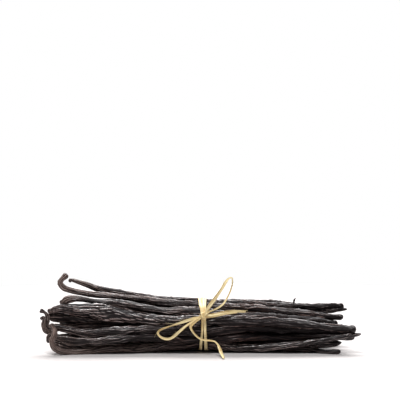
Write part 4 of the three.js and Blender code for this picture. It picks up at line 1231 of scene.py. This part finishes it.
def tie_line(gap):
    """Points at even steps round the tie, this far outside the pods, and their turns in degrees."""
    hull = tie_hull()
    loop = np.vstack([hull, hull[:1]])
    reach = reach_of(loop)
    even = np.linspace(0, reach[-1], TIE_POINTS, endpoint=False)
    line = np.stack([np.interp(even, reach, loop[:, i]) for i in range(2)], axis=1)
    ahead = unit(np.roll(line, -1, axis=0) - np.roll(line, 1, axis=0))
    line = line + np.stack([ahead[:, 1], -ahead[:, 0]], axis=1) * gap
    line = (np.roll(line, 1, axis=0) + 2 * line + np.roll(line, -1, axis=0)) / 4
    turn = np.degrees(np.arctan2(line[:, 1] - TIE_Z, line[:, 0])) % 360
    order = np.argsort(turn)
    return line[order], turn[order]


def strand_body(dice, hand, settings):
    """One strand of the tie, taken once round the bundle."""
    line, turn = tie_line(STRAND_GAPS[hand])
    middle = np.array([TIE_X, 0, TIE_Z])
    taper = [(place / 360, share) for place, share in STRAND_SPREAD[hand]]
    return strip_body(
        dice, np.column_stack([curve_table(STRANDS[hand], turn), line]), settings.band_width,
        settings.thickness, lambda centre: (centre - middle) * (0, 1, 1), STRAND_CURL, taper=taper,
        closed=True)


def wrap_body(dice, settings, lean, high, deep, width, shift):
    """A small ring about the bow's throat; lean is how far its top is turned to the left, in degrees."""
    middle = np.array(KNOT)
    up = np.array([-math.sin(math.radians(lean)), 0, math.cos(math.radians(lean))])
    out = unit(np.array(FRONT, float))
    turns = round_turns(WRAP_PLACES)[:, None]
    places = middle + shift + high * np.cos(turns) * up + deep * np.sin(turns) * out
    return strip_body(dice, places, width, settings.thickness * WRAP_THICKNESS,
                      lambda centre: centre - middle, closed=True, tone=WRAP_TONE)


def bow_bodies(dice, settings):
    """The two loops and the short end of the bow, with their loose fibres."""
    made = {
        name: strip_body(dice, width=settings.loop_width * share, thickness=settings.thickness,
                         face=FRONT, **strip)
        for name, (share, strip) in BOW.items()}
    fibres = []
    for name, count, longest, ends_only in FRAYED:
        fibres += loose_fibres(dice, made[name], count, longest, ends_only)
    return [*made.values(), *fibres]


# ---- operators ---------------------------------------------------------------------------
def area_light(name, place, target, size, power):
    """A soft rectangular light at a place, turned to a target."""
    light = bpy.data.lights.new(name, "AREA")
    light.shape = "RECTANGLE"
    light.size, light.size_y = size
    light.energy = power
    lamp = bpy.data.objects.new(name, light)
    lamp.location = place
    lamp.rotation_euler = (Vector(target) - Vector(place)).to_track_quat("-Z", "Y").to_euler()
    bpy.context.scene.collection.objects.link(lamp)


class VANILLA_OT_stage(bpy.types.Operator):
    """Makes the camera, the pale floor and the soft light"""

    bl_idname = "vanilla.stage"
    bl_label = "Stage"

    def execute(self, context):
        settings = context.scene.vanilla_stage
        scene = context.scene
        lens = bpy.data.cameras.new("camera")
        lens.lens = settings.lens
        lens.sensor_width = SENSOR_WIDTH
        lens.clip_start, lens.clip_end = CLIP
        camera = bpy.data.objects.new("camera", lens)
        camera.location = (0, -settings.distance * math.cos(settings.elevation),
                           TIE_Z + settings.distance * math.sin(settings.elevation))
        camera.rotation_euler = (math.pi / 2 - settings.tilt, 0, 0)
        scene.collection.objects.link(camera)
        scene.camera = camera
        scene.view_settings.view_transform = "Standard"
        scene.view_settings.look = "None"

        mesh = bpy.data.meshes.new("floor")
        turns = round_turns(FLOOR_SIDES)
        rim = np.stack([FLOOR_RADIUS * np.cos(turns), FLOOR_RADIUS * np.sin(turns), 0 * turns], axis=1)
        mesh.from_pydata(rim.tolist(), [], [list(range(FLOOR_SIDES))])
        mesh.materials.append(floor_finish(settings))
        floor = bpy.data.objects.new("floor", mesh)
        scene.collection.objects.link(floor)

        sky = Finish(bpy.data.worlds.new("studio"))
        white = (1, 1, 1, 1)
        seen = sky.node("ShaderNodeBackground", inputs={"Color": white})
        dim = sky.node("ShaderNodeBackground", inputs={"Color": white, "Strength": settings.ambient})
        rays = sky.node("ShaderNodeLightPath", output="Is Camera Ray")
        both = sky.node("ShaderNodeMixShader", inputs={0: rays, 1: dim, 2: seen})
        sky.node("ShaderNodeOutputWorld", inputs={"Surface": both})
        scene.world = sky.owner

        for name, (place, target, size) in LIGHTS.items():
            area_light(f"{name}_light", place, target, size, getattr(settings, f"{name}_power"))
        return {"FINISHED"}


class VANILLA_OT_loose_end(bpy.types.Operator):
    """Makes the long loose end of the raffia, which lies over the front and onto the floor"""

    bl_idname = "vanilla.loose_end"
    bl_label = "Loose raffia end"

    def execute(self, context):
        settings = context.scene.vanilla_raffia
        dice = np.random.default_rng(LOOSE_END_SEED)
        line, reach = smooth_line(LONG_TAIL)
        strand = strip_body(dice, LONG_TAIL, TAIL_ACROSS * TAIL_UNROLLED, settings.thickness, FRONT,
                            TAIL_CURL, TAIL_ROLL, TAIL_TAPER)
        piece = build_piece("raffia_loose_end", [strand], raffia_skin(settings), ["raffia_tail"])
        return {"FINISHED"}


class VANILLA_OT_pods(bpy.types.Operator):
    """Makes the pods, one piece for each layer of the bundle"""

    bl_idname = "vanilla.pods"
    bl_label = "Pods"

    def execute(self, context):
        settings = context.scene.vanilla_pods
        finish = pod_skin(settings)
        names = list(PODS)
        for layer, (sides, members) in LAYERS.items():
            skins = [pod_body(name, names.index(name), sides, settings) for name in members]
            build_piece(layer, skins, finish, ["pod_bundle"])
        return {"FINISHED"}


class VANILLA_OT_core(bpy.types.Operator):
    """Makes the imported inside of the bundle"""

    bl_idname = "vanilla.core"
    bl_label = "Core"

    def execute(self, context):
        skin = core_skin(context.scene.vanilla_pods)
        build_piece("bundle_core", [core_body()], skin, ["pod_bundle"])
        return {"FINISHED"}


class VANILLA_OT_scrap(bpy.types.Operator):
    """Makes the dry scrap of stem that stands up off the top"""

    bl_idname = "vanilla.scrap"
    bl_label = "Stem scrap"

    def execute(self, context):
        skin = bpy.data.materials["vanilla_skin"]
        build_piece("stem_scrap", [scrap_body()], skin, ["pod_bundle"])
        return {"FINISHED"}


class VANILLA_OT_tie(bpy.types.Operator):
    """Makes the raffia round the bundle, its knot and its bow"""

    bl_idname = "vanilla.tie"
    bl_label = "Raffia tie"

    def execute(self, context):
        settings = context.scene.vanilla_raffia
        finish = bpy.data.materials["raffia_fibre"]
        dice = np.random.default_rng(TIE_SEED)
        strands = [strand_body(dice, hand, settings) for hand in STRANDS]
        wraps = [wrap_body(dice, settings, *wrap) for wrap in KNOT_WRAPS]
        build_piece("raffia_band", strands, finish, ["raffia_tie"])
        build_piece("raffia_knot", wraps, finish, ["raffia_tie"])
        build_piece("raffia_bow", bow_bodies(dice, settings), finish, ["raffia_tie"])
        return {"FINISHED"}


class VANILLA_PT_bundle(bpy.types.Panel):
    """Lists the steps and the settings of the bundle"""

    bl_idname = "VANILLA_PT_bundle"
    bl_label = "Vanilla bundle"
    bl_space_type = "VIEW_3D"
    bl_region_type = "UI"
    bl_category = "Vanilla"

    def draw(self, context):
        for operator in OPERATORS:
            self.layout.operator(operator.bl_idname)
        for name in SETTINGS:
            box = self.layout.box()
            box.label(text=name.replace("_", " ").capitalize())
            group = getattr(context.scene, name)
            for field in group.__annotations__:
                box.prop(group, field)


SETTINGS = {"vanilla_pods": PodSettings, "vanilla_raffia": RaffiaSettings, "vanilla_stage": StageSettings}
OPERATORS = (
    VANILLA_OT_stage, VANILLA_OT_loose_end, VANILLA_OT_pods, VANILLA_OT_core, VANILLA_OT_scrap,
    VANILLA_OT_tie,
)
CLASSES = (*SETTINGS.values(), *OPERATORS, VANILLA_PT_bundle)


def register():
    for group in CLASSES:
        bpy.utils.register_class(group)
    for name, group in SETTINGS.items():
        setattr(bpy.types.Scene, name, PointerProperty(type=group))


def unregister():
    for name in SETTINGS:
        delattr(bpy.types.Scene, name)
    for group in reversed(CLASSES):
        bpy.utils.unregister_class(group)


def main():
    register()
    bpy.ops.vanilla.stage()
    bpy.ops.vanilla.loose_end()
    bpy.ops.vanilla.pods()
    bpy.ops.vanilla.core()
    bpy.ops.vanilla.scrap()
    bpy.ops.vanilla.tie()


if __name__ == "__main__":
    main()
